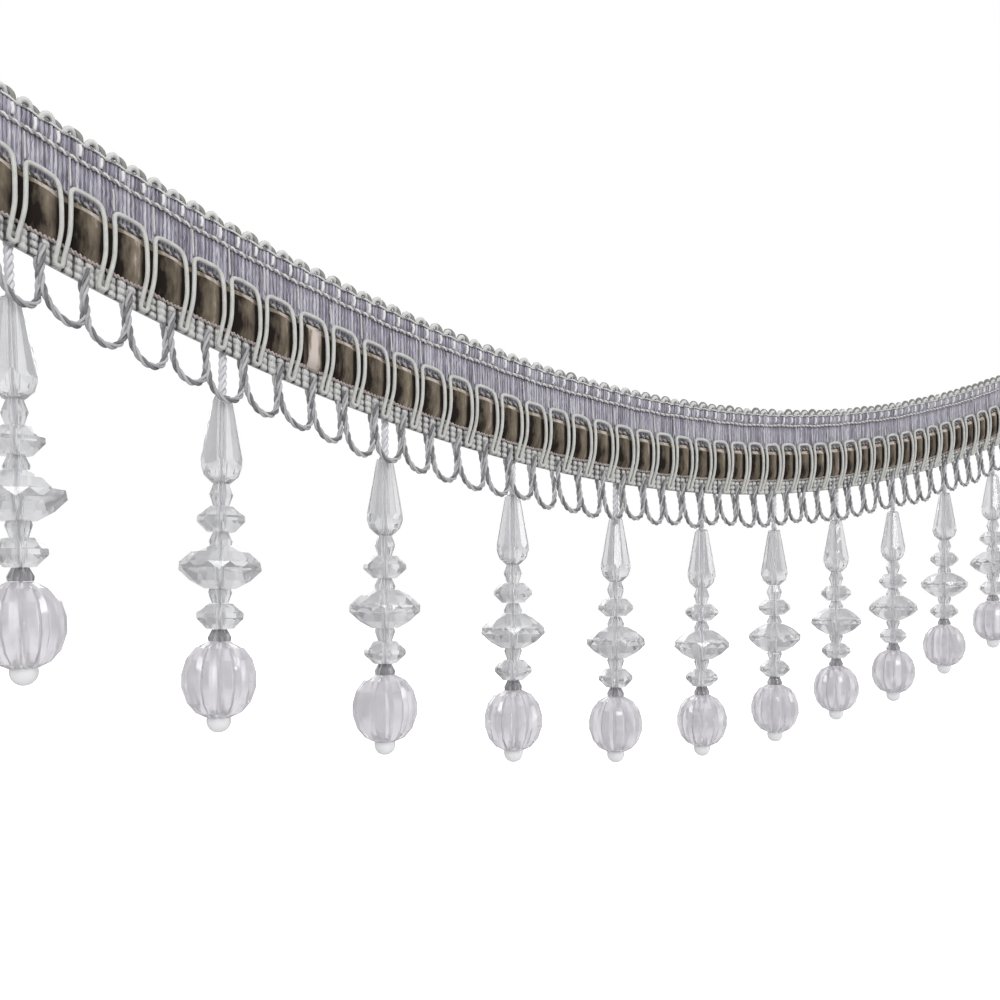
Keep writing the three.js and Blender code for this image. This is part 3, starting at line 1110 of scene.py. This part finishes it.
        # the selvage has its own lighter tone, with painted light added from the window's middle
        selvage = ease(rise, *self.selvage)[None, :]
        plain, light = self.selvage_tones
        tone = tone * (1 - selvage) + selvage * (plain + light * lit)
        seam = self.join * swag.pitch
        if start > -swag.half_length:
            flap = 1 - ease(along, seam + self.lap_fray * self.lap, seam + self.lap)[:, None]
            out = out + self.lap_out * flap
            plain, differ = self.lap_tones
            tone = tone * (1 - flap) + flap * (plain + differ * np.sin(along / self.lap_wave))[:, None]
        else:
            sunk = ease(along, *(seam - before for before in self.tuck))[:, None]
            out = out * (1 - self.tuck_sink * sunk)
            tone = tone * (1 - sunk) + self.tuck_tone * sunk
        draft = Draft()
        add_slab(draft, swag, along, up, out, tone, self.back)
        piece = draft.build(name, VELVET.material())
        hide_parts(node)
        return piece

    def build_row(self, name: str, cord: Cord, height: float, finish: CordFinish) -> Piece:
        """Makes one thread along the whole band.

        Args:
            name: the piece's name.
            cord: how it is laid up.
            height: its height up the band.
            finish: its finish.

        Returns:
            The piece.
        """
        swag = self.swag
        along = swag.spread(round(2 * swag.half_length / cord.step) + 1)
        most, wave = self.row_sway
        sway = most * np.sin(along / wave)
        level = np.full(len(along), self.edge_out + self.row_out)
        draft = Draft()
        cord.lay_up(draft, swag.hang(np.stack([along, height + sway, level], 1)))
        return draft.build(name, finish.material())


@dataclass
class Gimp:
    """The gimp cord: one meander of arches over the ribbon, its legs in pairs.

    Args:
        swag: the line that it hangs in.
        cord: how the cord is made.
        top: height of the arches.
        crown: how much higher an arch is in its middle, and how far out it is there.
        leg: inset, height and height off the back of each place on a leg, in millimetres.
        wobble: how far a leg strays, in millimetres.
        lean: how far the legs lean to the left at the foot.
        lean_height: height up to which they lean.
        seed: start of the random draws.
    """

    swag: Swag
    cord: Cord = Cord(1, 0.47 * MM, 3 * MM, (0.5,), sides=10, step=0.6 * MM)
    top: float = 17.2 * MM
    crown: tuple[float, float] = (0.1, 2.2)
    leg: tuple[Triple, ...] = (
        (0.68, 0.6, 1.72), (0.74, 2.2, 2.1), (0.8, 4.4, 2.65), (0.84, 7.0, 3.05), (0.92, 10.0, 3.25),
        (1.0, 13.0, 3.15), (1.12, 15.2, 2.7), (1.45, 16.45, 2.4), (2.3, 17.1, 2.25),
    )
    wobble: float = 0.16
    lean: float = 1.0 * MM
    lean_height: float = 8.5 * MM
    seed: int = 7

    def arch(self, window: int, random: Random) -> list[Triple]:
        """Leads the cord up a window's left leg and down its right.

        Args:
            window: the window's number.
            random: how it strays.

        Returns:
            The places that it passes, in millimetres.
        """
        pitch, top = self.swag.pitch / MM, self.top / MM
        left = self.swag.window_left(window) / MM
        wobble = random.uniform(-self.wobble, self.wobble, 4)
        rise, out = self.crown
        crown = (left + pitch / 2, top + rise + wobble[1], out)
        places = []
        for edge, side, bend, stretch in ((left, 1, *wobble[:2]), (left + pitch, -1, *wobble[2:])):
            for inset, up, out in self.leg[::side]:
                share = up / top
                bow = bend * math.sin(math.pi * share)
                places.append((edge + side * inset + bow, up + stretch * share, out))
        places.insert(len(self.leg), crown)
        return places

    def build(self) -> list[Piece]:
        """Makes the cord in one piece.

        Returns:
            The piece in a list.
        """
        random = np.random.default_rng(self.seed)
        places: list[Triple] = []
        for window in range(self.swag.windows):
            places.extend(self.arch(window, random))
        flat = smooth_path(np.array(places) * MM, self.cord.step)
        flat[:, 0] -= self.lean * (1 - ease(flat[:, 1], 0.0, self.lean_height))
        draft = Draft()
        self.cord.lay_up(draft, self.swag.hang(flat))
        piece = draft.build("gimp_arches", GIMP_CORD.material())
        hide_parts("gimp_cord")
        return [piece]


@dataclass
class Fringe:
    """The foot strip and its row of twisted cord loops.

    Args:
        swag: the line that it hangs in.
        height: of the foot strip.
        base_out: height of its face between its checks.
        lump: how far a check stands out.
        ribs: upright ribs to a window.
        rib_columns: columns of the mesh to a rib.
        row: height of one row of its checks.
        slip: how far a rib's checks are out of line with the others, in rows.
        check: plain height of a check and how much its middle adds, for its height and for its tone; the
            tone part paints shade between the checks.
        foot_shade: how far a rib's tone strays.
        foot_rows: rows of the strip's mesh.
        foot_seed: start of the strip's random draws.
        cord: how the loops' cord is laid up; its near-black third ply paints the shade in the grooves
            between the plies.
        half_width: of a loop at its root.
        depth: of a loop below the foot.
        shoulder: share of the half width and of the depth where a loop's legs end and its bow starts.
        root: share of the half width and height of the two places of a leg by the foot.
        swell: share of the half width and of the depth where a leg is out the most.
        bow: share of the half width of a loop's bow, its steps and how pointed it is.
        middle_stray: how far a loop strays along the band, in millimetres.
        skew: how far its bow strays, in millimetres.
        sizes: range of its width and its depth, as shares of the common ones.
        loop_seed: start of the loops' random draws.
        fronts: height off the back of a loop's left and right end.
        lean: how far a loop leans forward for each length down.
    """

    swag: Swag
    height: float = 4.9 * MM
    base_out: float = 0.75 * MM
    lump: float = 0.95 * MM
    ribs: int = 4
    rib_columns: int = 8
    row: float = 1.5 * MM
    slip: float = 0.15
    edges: tuple[float, float] = (0.6, 0.7)
    check: tuple[tuple[float, float], tuple[float, float]] = ((0.35, 0.65), (0.4, 0.6))
    foot_shade: float = 0.3
    foot_rows: int = 24
    foot_seed: int = 3
    # painted shade: the third ply's low tone stands in for shade in the grooves
    cord: Cord = Cord(3, 0.355 * MM, 6.6 * MM, (0.85, 0.6, 0.08), sides=6, step=0.45 * MM)
    half_width: float = 4.3 * MM
    depth: float = 11.0 * MM
    shoulder: tuple[float, float] = (0.98, 0.52)
    root: tuple[tuple[float, float], ...] = ((0.92, 2.9 * MM), (0.98, -0.5 * MM))
    swell: tuple[float, float] = (1.03, 0.28)
    bow: tuple[float, int, float] = (0.96, 6, 0.9)
    middle_stray: float = 0.4
    skew: float = 0.8
    sizes: tuple[float, float] = (0.93, 1.06)
    loop_seed: int = 17
    fronts: tuple[float, float] = (1.75 * MM, 0.45 * MM)
    lean: float = 0.165

    def build(self) -> list[Piece]:
        """Makes the foot strip and the loops."""
        return [self.build_foot(), self.build_loops()]

    def build_foot(self) -> Piece:
        """Makes the strip of small woven checks.

        Returns:
            The strip.
        """
        swag = self.swag
        along = swag.spread(swag.windows * self.ribs * self.rib_columns + 1)
        up = np.linspace(0.0, self.height, self.foot_rows)
        across = swag.passed(along) * self.ribs
        rib = whole(across)
        random = np.random.default_rng(self.foot_seed)
        shade, slip = random.uniform(0.0, 1.0, (2, swag.windows * self.ribs + 1))[:, rib, None]
        ridge_edge, check_edge = self.edges
        ridge = (np.abs(np.sin(np.pi * across)) ** ridge_edge)[:, None]
        check = np.abs(np.sin(np.pi * (up[None, :] / self.row + self.slip * slip))) ** check_edge
        lump, light = (plain + more * check for plain, more in self.check)
        out = self.base_out + self.lump * ridge * lump
        # painted shade: the tone darkens between the ribs and between the checks
        tone = np.clip(ridge * light + self.foot_shade * (shade - 0.5), 0, 1)
        draft = Draft()
        add_slab(draft, swag, along, up, out, tone, 0.0)
        foot = draft.build("foot_strip", FOOT_WEAVE.material())
        return foot

    def loop(self, window: int, random: Random) -> Array:
        """Leads one loop's cord down its left leg and up its right.

        Args:
            window: the window at whose left side it hangs.
            random: how it strays.

        Returns:
            Rows of the flat places that it passes.
        """
        middle = self.swag.window_left(window) + stray(random, self.middle_stray) * MM
        width = self.half_width * random.uniform(*self.sizes)
        depth = self.depth * random.uniform(*self.sizes)
        skew = stray(random, self.skew) * MM
        shoulder_share, shoulder_down = self.shoulder
        shoulder = shoulder_down * depth
        swell_share, swell_down = self.swell
        legs = (*self.root, (swell_share, -swell_down * depth), (shoulder_share, -shoulder))
        places = [(-share * width, up) for share, up in legs]
        reach, steps, point = self.bow
        for step in range(1, steps):
            angle = math.pi * step / steps
            low = shoulder + (depth - shoulder) * math.sin(angle) ** point
            places.append((skew * math.sin(angle) - reach * width * math.cos(angle), -low))
        places.extend((share * width, up) for share, up in reversed(legs))
        across, up = np.array(places).T
        front = np.linspace(*self.fronts, len(places)) + self.lean * np.maximum(0.0, -up)
        return np.stack([middle + across, up, front], 1)

    def build_loops(self) -> Piece:
        """Makes the loops, each passing before the one at its left and behind the next.

        Returns:
            The loops in one piece.
        """
        random = np.random.default_rng(self.loop_seed)
        draft = Draft()
        for window in range(1, self.swag.windows):
            flat = smooth_path(self.loop(window, random), self.cord.step)
            self.cord.lay_up(draft, self.swag.hang(flat), turn=random.uniform(0, 6))
        loops = draft.build("cord_loops", LOOP_CORD.material())
        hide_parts("loop_fringe")
        return loops


@dataclass(frozen=True)
class Ring:
    """One ring of a bead: how far down the string it is, its radius, and a half facet's turn."""

    down: float
    radius: float
    turned: bool = False


@dataclass(frozen=True)
class Bead:
    """A faceted bead, described by its rings from top to bottom.

    UPRIGHT and NEAR tell its end faces from the others, CLEARANCE keeps the grooves off its bore,
    SOFT_ANGLE is the most that a smooth edge turns, GROOVE_STEP is how many corners there are to a
    groove, and corners nearer than MERGE become one.

    Args:
        name: the bead's plain name.
        sides: facets round it.
        rings: its rings, in millimetres.
        bore: radius of its hole.
        grooves: how far each fourth corner is drawn in, or 0.
        soft: whether its level edges are smooth.
    """

    name: str
    sides: int
    rings: tuple[Ring, ...]
    bore: float = 0.6
    grooves: float = 0.0
    soft: bool = False

    UPRIGHT: ClassVar[float] = 0.99
    NEAR: ClassVar[float] = 0.01 * MM
    CLEARANCE: ClassVar[float] = 1.05
    SOFT_ANGLE: ClassVar[float] = math.radians(21)
    GROOVE_STEP: ClassVar[int] = 4
    MERGE: ClassVar[float] = 0.001 * MM

    @property
    def narrow(self) -> float:
        """The smaller radius of its two ends."""
        return min(self.rings[0].radius, self.rings[-1].radius)

    def model(self) -> Piece:
        """Models the bead on the Z axis, its place down the string kept.

        Returns:
            The modelled bead, at the origin.
        """
        bpy.ops.object.select_all(action="DESELECT")
        first = self.rings[0]
        top = (0, 0, -first.down * MM)
        bpy.ops.mesh.primitive_circle_add(
            vertices=self.sides, radius=first.radius * MM, fill_type="NGON", location=top)
        bead = bpy.context.object
        bead.name = self.name
        bpy.ops.object.transform_apply(location=True, rotation=True, scale=True)
        bpy.ops.object.mode_set(mode="EDIT")
        bpy.ops.mesh.select_mode(type="FACE")
        bpy.ops.mesh.select_all(action="SELECT")
        for above, ring in zip(self.rings, self.rings[1:]):
            drop = (0, 0, (above.down - ring.down) * MM)
            bpy.ops.mesh.extrude_region_move(TRANSFORM_OT_translate={"value": drop})
            scale, centre = ring.radius / above.radius, (0, 0, -ring.down * MM)
            bpy.ops.transform.resize(value=(scale, scale, 1), center_override=centre)
            if ring.turned:
                turn = math.pi / self.sides
                bpy.ops.transform.rotate(value=turn, orient_axis="Z", center_override=centre)
        self.close_ends(bead)
        if self.grooves:
            self.draw_grooves(bead)
        bpy.ops.mesh.select_all(action="SELECT")
        bpy.ops.mesh.remove_doubles(threshold=self.MERGE)
        bpy.ops.mesh.quads_convert_to_tris(quad_method="SHORTEST_DIAGONAL", ngon_method="BEAUTY")
        bpy.ops.mesh.normals_make_consistent(inside=False)
        bpy.ops.object.mode_set(mode="OBJECT")
        bpy.ops.object.shade_flat()
        if self.soft:
            bpy.ops.object.shade_smooth_by_angle(angle=self.SOFT_ANGLE)
        return bead

    def close_ends(self, bead: Piece) -> None:
        """Insets both end faces and bridges them through the bead, which opens its bore.

        Args:
            bead: the bead, in edit mode.
        """
        work = bmesh.from_edit_mesh(bead.data)
        top, low = -self.rings[0].down * MM, -self.rings[-1].down * MM
        for face in work.faces:
            height = face.calc_center_median().z
            upright = abs(face.normal.z) > self.UPRIGHT
            face.select = upright and min(abs(height - top), abs(height - low)) < self.NEAR
        bmesh.update_edit_mesh(bead.data)
        bpy.ops.mesh.inset(thickness=(self.narrow - self.bore) * MM * math.cos(math.pi / self.sides))
        bpy.ops.mesh.bridge_edge_loops()

    def draw_grooves(self, bead: Piece) -> None:
        """Draws each fourth upright line of corners in towards the axis, which leaves flutes.

        Args:
            bead: the bead, in edit mode.
        """
        work = bmesh.from_edit_mesh(bead.data)
        bpy.ops.mesh.select_mode(type="VERT")
        sector = 2 * math.pi / self.sides
        inner = self.narrow * self.CLEARANCE * MM
        bpy.ops.mesh.select_all(action="DESELECT")
        for corner in work.verts:
            line = round(math.atan2(corner.co.y, corner.co.x) / sector) % self.GROOVE_STEP
            corner.select = line == 0 and corner.co.xy.length > inner
        work.select_flush_mode()
        bmesh.update_edit_mesh(bead.data)
        scale = 1 - self.grooves
        bpy.ops.transform.resize(value=(scale, scale, 1), center_override=(0, 0, 0))


TEARDROP = Bead("teardrop", 12, (
    Ring(0, 1.85), Ring(0.5, 2.1), Ring(14.0, 4.5), Ring(15.5, 4.6, True), Ring(17.7, 3.9),
    Ring(19.3, 2.2, True), Ring(19.6, 1.7)))
BICONE_TOP = Bead("spacer_top", 8, (Ring(19.7, 1.8), Ring(22.0, 2.65), Ring(24.7, 1.7)))
RONDELLE_TOP = Bead("rondelle_top", 10, (
    Ring(24.8, 3.2), Ring(26.9, 5.35, True), Ring(28.0, 5.4), Ring(30.3, 3.1, True)))
BICONE_MIDDLE = Bead("spacer_middle", 8, (Ring(30.4, 1.7), Ring(32.4, 2.65), Ring(33.3, 2.4)))
RONDELLE_BIG = Bead("rondelle_big", 12, (
    Ring(33.4, 3.6), Ring(34.9, 6.4, True), Ring(37.2, 8.95), Ring(38.9, 9.0, True), Ring(41.3, 6.5),
    Ring(43.0, 3.5, True)))
FUNNEL = Bead("spacer_funnel", 8, (Ring(43.1, 2.4), Ring(43.9, 2.65), Ring(46.3, 1.8)))
RONDELLE_LOW = Bead("rondelle_low", 10, (
    Ring(46.4, 3.1), Ring(48.5, 5.25, True), Ring(49.7, 5.3), Ring(52.0, 3.0, True)))
GREY_CONE = Bead("spacer_grey", 8, (Ring(52.1, 1.7), Ring(53.9, 2.65), Ring(54.8, 2.5)))
MELON = Bead("melon", 48, (
    Ring(54.9, 2.7), Ring(56.2, 5.3), Ring(58.8, 7.25), Ring(62.0, 8.15), Ring(65.0, 8.15),
    Ring(68.4, 7.0), Ring(70.7, 5.0), Ring(71.7, 2.9)), grooves=0.1, soft=True)


@dataclass(frozen=True)
class Drop:
    """One bead drop's own measures.

    Args:
        place: where it hangs, in windows from the middle.
        hanger: length of the bare thread in millimetres.
        lean: in degrees, the bottom to the right.
        turn: turn of its facets in degrees.
    """

    place: float
    hanger: float
    lean: float
    turn: float


DROPS = (
    Drop(place=-22.1, hanger=9.9, lean=2.0, turn=10),
    Drop(place=-16.9, hanger=9.3, lean=-0.7, turn=31),
    Drop(place=-11.9, hanger=9.2, lean=0.0, turn=4),
    Drop(place=-7.1, hanger=9.3, lean=0.3, turn=22),
    Drop(place=-2.5, hanger=10.5, lean=0.0, turn=38),
    Drop(place=1.9, hanger=12.0, lean=0.2, turn=15),
    Drop(place=6.1, hanger=12.7, lean=0.4, turn=27),
    Drop(place=10.1, hanger=11.7, lean=0.0, turn=8),
    Drop(place=14.1, hanger=13.2, lean=0.3, turn=34),
    Drop(place=18.1, hanger=12.2, lean=-0.3, turn=19),
    Drop(place=22.1, hanger=12.7, lean=0.2, turn=2),
)


@dataclass
class BeadDrops:
    """The bead drops, each bead modelled once and copied to every string.

    Args:
        swag: the line that they hang from.
        setback: how far behind the foot's back the strings hang.
        root: how far up behind the foot a hanger reaches.
        hanger_cord: the twisted thread down to the teardrop.
        core_cord: the thread through the beads.
        stopper_radius: radius of the ball under the melon.
        stopper_down: place of the ball's middle down the string.
        stopper_cut: height where the ball is flattened, as a share of its radius.
        stopper_mesh: segments and rings of the ball.
        stopper_angle: the most that a smooth edge of the ball turns, in degrees.
        tuck: how far the hanger and the core reach into the teardrop's top.
    """

    swag: Swag
    setback: float = 1.0 * MM
    root: float = 3.5 * MM
    hanger_cord: Cord = Cord(3, 0.46 * MM, 5.2 * MM, (0.85, 0.6, 0.7), sides=7, step=0.35 * MM)
    core_cord: Cord = Cord(1, 0.3 * MM, 2 * MM, (0.8,), sides=8, step=2.0 * MM)
    stopper_radius: float = 2.7 * MM
    stopper_down: float = 72.5 * MM
    stopper_cut: float = 0.55
    stopper_mesh: tuple[int, int] = (24, 14)
    stopper_angle: float = 40.0
    tuck: tuple[float, float] = (0.4 * MM, 0.2 * MM)

    def build(self) -> list[Piece]:
        """Makes every drop's pieces.

        Returns:
            The pieces of all drops.
        """
        clear = [bead.model() for bead in (BICONE_TOP, RONDELLE_TOP, BICONE_MIDDLE, FUNNEL, RONDELLE_LOW)]
        masters = {
            "teardrop": ([TEARDROP.model()], CLEAR_BEAD, Slot.BEADS, "teardrop_set"),
            "small_beads": (clear, CLEAR_BEAD, Slot.BEADS, None),
            "big_rondelle": ([RONDELLE_BIG.model()], CLEAR_BEAD, Slot.BEADS, "rondelle_set"),
            "grey_cone": ([GREY_CONE.model()], GREY_BEAD, Slot.SPACER, None),
            "melon_bead": ([MELON.model()], MELON_BEAD, Slot.BEADS, "melon"),
            "stopper": ([self.model_stopper()], STOPPER_BEAD, Slot.STOPPER, None),
        }
        pieces = []
        for number, drop in enumerate(DROPS, 1):
            pieces.extend(self.build_drop(number, drop, masters))
        for models, *_ in masters.values():
            for model in models:
                bpy.data.objects.remove(model, do_unlink=True)
        return pieces

    def string_matrix(self, drop: Drop) -> Matrix:
        """Finds where a string hangs: its heading, its lean and the height of its foot.

        Args:
            drop: its measures.

        Returns:
            The move from the origin to its place under the foot.
        """
        along = np.array([drop.place * self.swag.pitch])
        foot = self.swag.hang(np.stack([along, 0 * along, 0 * along], 1))[0]
        heading = Matrix.Rotation(-float(self.swag.heading(along)[0]), 4, "Z")
        lean = Matrix.Rotation(-math.radians(drop.lean), 4, "Y")
        return Matrix.Translation(Vector(foot)) @ heading @ lean @ Matrix.Translation((0, self.setback, 0))

    def build_drop(self, number: int, drop: Drop, masters: dict[str, tuple]) -> list[Piece]:
        """Makes one drop.

        Args:
            number: its number from the left.
            drop: its measures.
            masters: the modelled beads with their finish, slot and solid.

        Returns:
            Its pieces.
        """
        prefix = f"drop_{number:02d}"
        hung = self.string_matrix(drop)
        turn = Matrix.Rotation(math.radians(drop.turn), 4, "Z")
        string = hung @ Matrix.Translation((0, 0, -drop.hanger * MM)) @ turn
        pieces = [self.build_thread(prefix, drop, hung)]
        for name, (models, finish, slot, node) in masters.items():
            work = bmesh.new()
            for model in models:
                work.from_mesh(model.data)
            mesh = bpy.data.meshes.new(f"{prefix}_{name}")
            work.to_mesh(mesh)
            work.free()
            mesh.transform(string)
            mesh.materials.append(finish.material())
            piece = link_new(mesh.name, mesh)
            if node:
                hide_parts(f"{prefix}_{node}")
            pieces.append(piece)
        return pieces

    def build_thread(self, prefix: str, drop: Drop, hung: Matrix) -> Piece:
        """Makes a drop's thread: twisted down to the teardrop, then a core through the beads.

        Args:
            prefix: the drop's name.
            drop: its measures.
            hung: where it hangs.

        Returns:
            The thread.
        """
        draft = Draft()
        bare = -drop.hanger * MM
        hanger_tuck, core_tuck = self.tuck
        stretches = (
            (self.hanger_cord, self.root, bare - hanger_tuck),
            (self.core_cord, bare - core_tuck, bare - self.stopper_down),
        )
        for cord, high, low in stretches:
            heights = np.linspace(high, low, max(3, round((high - low) / cord.step) + 1))
            places = [hung @ Vector((0, 0, height)) for height in heights]
            cord.lay_up(draft, np.array(places), turn=math.radians(drop.turn * 3))
        piece = draft.build(f"{prefix}_thread", BEAD_THREAD.material())
        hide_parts(f"{prefix}_hanger")
        return piece

    def model_stopper(self) -> Piece:
        """Models the smooth ball, a little flattened where it meets the melon.

        Returns:
            The modelled ball, at the origin.
        """
        radius, height = self.stopper_radius, -self.stopper_down
        bpy.ops.object.select_all(action="DESELECT")
        segments, rings = self.stopper_mesh
        bpy.ops.mesh.primitive_uv_sphere_add(
            segments=segments, ring_count=rings, radius=radius, location=(0, 0, height))
        ball = bpy.context.object
        bpy.ops.object.transform_apply(location=True, rotation=True, scale=True)
        bpy.ops.object.mode_set(mode="EDIT")
        bpy.ops.mesh.select_all(action="SELECT")
        cut = (0, 0, height + self.stopper_cut * radius)
        bpy.ops.mesh.bisect(plane_co=cut, plane_no=(0, 0, 1), use_fill=True, clear_outer=True)
        bpy.ops.mesh.select_all(action="SELECT")
        bpy.ops.mesh.normals_make_consistent(inside=False)
        bpy.ops.object.mode_set(mode="OBJECT")
        bpy.ops.object.shade_smooth_by_angle(angle=math.radians(self.stopper_angle))
        return ball


@dataclass
class Studio:
    """The pale studio: floor, soft lights, and the camera at the picture's angle.

    Args:
        eye: the camera's place.
        heading: the camera's turn to the right, in degrees.
        lens: focal length in millimetres.
        sensor: width of the picture in the camera, in millimetres.
        horizon: height of the picture's horizon below its middle, as a share of its width.
        floor_height: height of the floor.
        lights: name, place, size and power of each soft light.
        aim: where the lights point.
        zone_noise: scale and detail of the surround's grey zones.
        zone_stops: where the zones change.
        zone_greys: their greys.
        floor_size: width of the floor.
        floor_noise: scale and detail of the paint's clouds.
        floor_paints: its two colours.
        floor_glow: light that the floor gives, which keeps it white.
    """

    eye: Triple = (-240.3 * MM, -219.9 * MM, -66.8 * MM)
    heading: float = 38.0
    lens: float = 36.0
    sensor: float = 36.0
    horizon: float = 0.105
    floor_height: float = -0.42
    lights: tuple[tuple[str, Triple, float, float], ...] = (
        ("key", (-0.55, -0.95, 0.55), 0.5, 7.0),
        ("fill", (0.8, -0.7, 0.1), 0.5, 1.5),
        ("back", (0.2, 0.9, 0.5), 0.7, 3.0),
    )
    aim: Triple = (0, 0, -0.05)
    zone_noise: tuple[float, float] = (1.7, 1.5)
    zone_stops: Triple = (0.38, 0.46, 0.62)
    zone_greys: tuple[Triple, ...] = ((0.38, 0.38, 0.395), (0.64, 0.64, 0.655), (0.95, 0.95, 0.96))
    floor_size: float = 60.0
    floor_noise: tuple[float, float] = (0.4, 1.0)
    floor_paints: tuple[Triple, ...] = ((0.93, 0.93, 0.93), (0.96, 0.96, 0.96))
    floor_glow: float = 0.8

    def build(self) -> None:
        """Sets the camera, the light and the floor."""
        self.place_camera()
        self.make_world()
        self.place_lights()
        self.lay_floor()
        bpy.context.scene.view_settings.view_transform = "Standard"

    def place_camera(self) -> None:
        """Sets a level camera, shifted up as far as the picture's framing needs."""
        data = bpy.data.cameras.new("camera")
        data.sensor_width = self.sensor
        data.lens = self.lens
        data.shift_y = self.horizon
        data.clip_start = 0.01
        camera = link_new("camera", data)
        camera.location = self.eye
        camera.rotation_euler = (math.pi / 2, 0, -math.radians(self.heading))
        bpy.context.scene.camera = camera

    def make_world(self) -> None:
        """Makes a white surround with the soft grey zones that clear beads show."""
        world = bpy.data.worlds.new("studio")
        bpy.context.scene.world = world
        world.use_nodes = True
        desk = Desk(world.node_tree)
        zones = desk.noise(desk.add("TexCoord").outputs["Generated"], *self.zone_noise)
        seen = desk.add("LightPath").outputs["Is Camera Ray"]
        grey = desk.ramp(zones, self.zone_stops, self.zone_greys)
        mix = desk.add("Mix", {"Factor": seen, 6: grey, 7: WHITE}, data_type="RGBA")
        background = world.node_tree.nodes["Background"]
        desk.feed(background.inputs["Color"], mix.outputs[2])
        desk.feed(background.inputs["Strength"], 1.0)

    def place_lights(self) -> None:
        """Hangs a large soft key at the left, a fill at the right and a light behind."""
        for name, place, size, power in self.lights:
            data = bpy.data.lights.new(name, "AREA")
            data.size = size
            data.energy = power
            light = link_new(name, data)
            light.location = place
            light.visible_transmission = False
            light.rotation_euler = (Vector(self.aim) - Vector(place)).to_track_quat("-Z", "Y").to_euler()

    def lay_floor(self) -> None:
        """Lays the pale floor well below the beads."""
        bpy.ops.object.select_all(action="DESELECT")
        bpy.ops.mesh.primitive_plane_add(size=self.floor_size, location=(0, 0, self.floor_height))
        floor = bpy.context.object
        floor.name = "floor"
        values = {"Roughness": 0.9, "Emission Color": WHITE, "Emission Strength": self.floor_glow}
        material, desk, shader = start_material("floor_paint", values)
        cloud = desk.noise(desk.add("TexCoord").outputs["Object"], *self.floor_noise)
        paint = desk.ramp(cloud, (0.0, 1.0), self.floor_paints)
        desk.feed(shader.inputs["Base Color"], paint)
        floor.data.materials.append(material)
        floor.visible_transmission = False
        floor.visible_glossy = False
        floor.visible_diffuse = False


def main() -> None:
    """Builds every piece, sets it on the frame's body and sets the studio."""
    logging.basicConfig(level=logging.INFO, format="%(message)s")
    swag = Swag()
    Studio().build()
    for maker in (Heading(swag), Ribbon(swag), Gimp(swag), Fringe(swag), BeadDrops(swag)):
        for piece in maker.build():
            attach(piece, BODY)
            log.info("%s: %s, %d faces", type(maker).__name__, piece.name, len(piece.data.polygons))


if __name__ == "__main__":
    main()
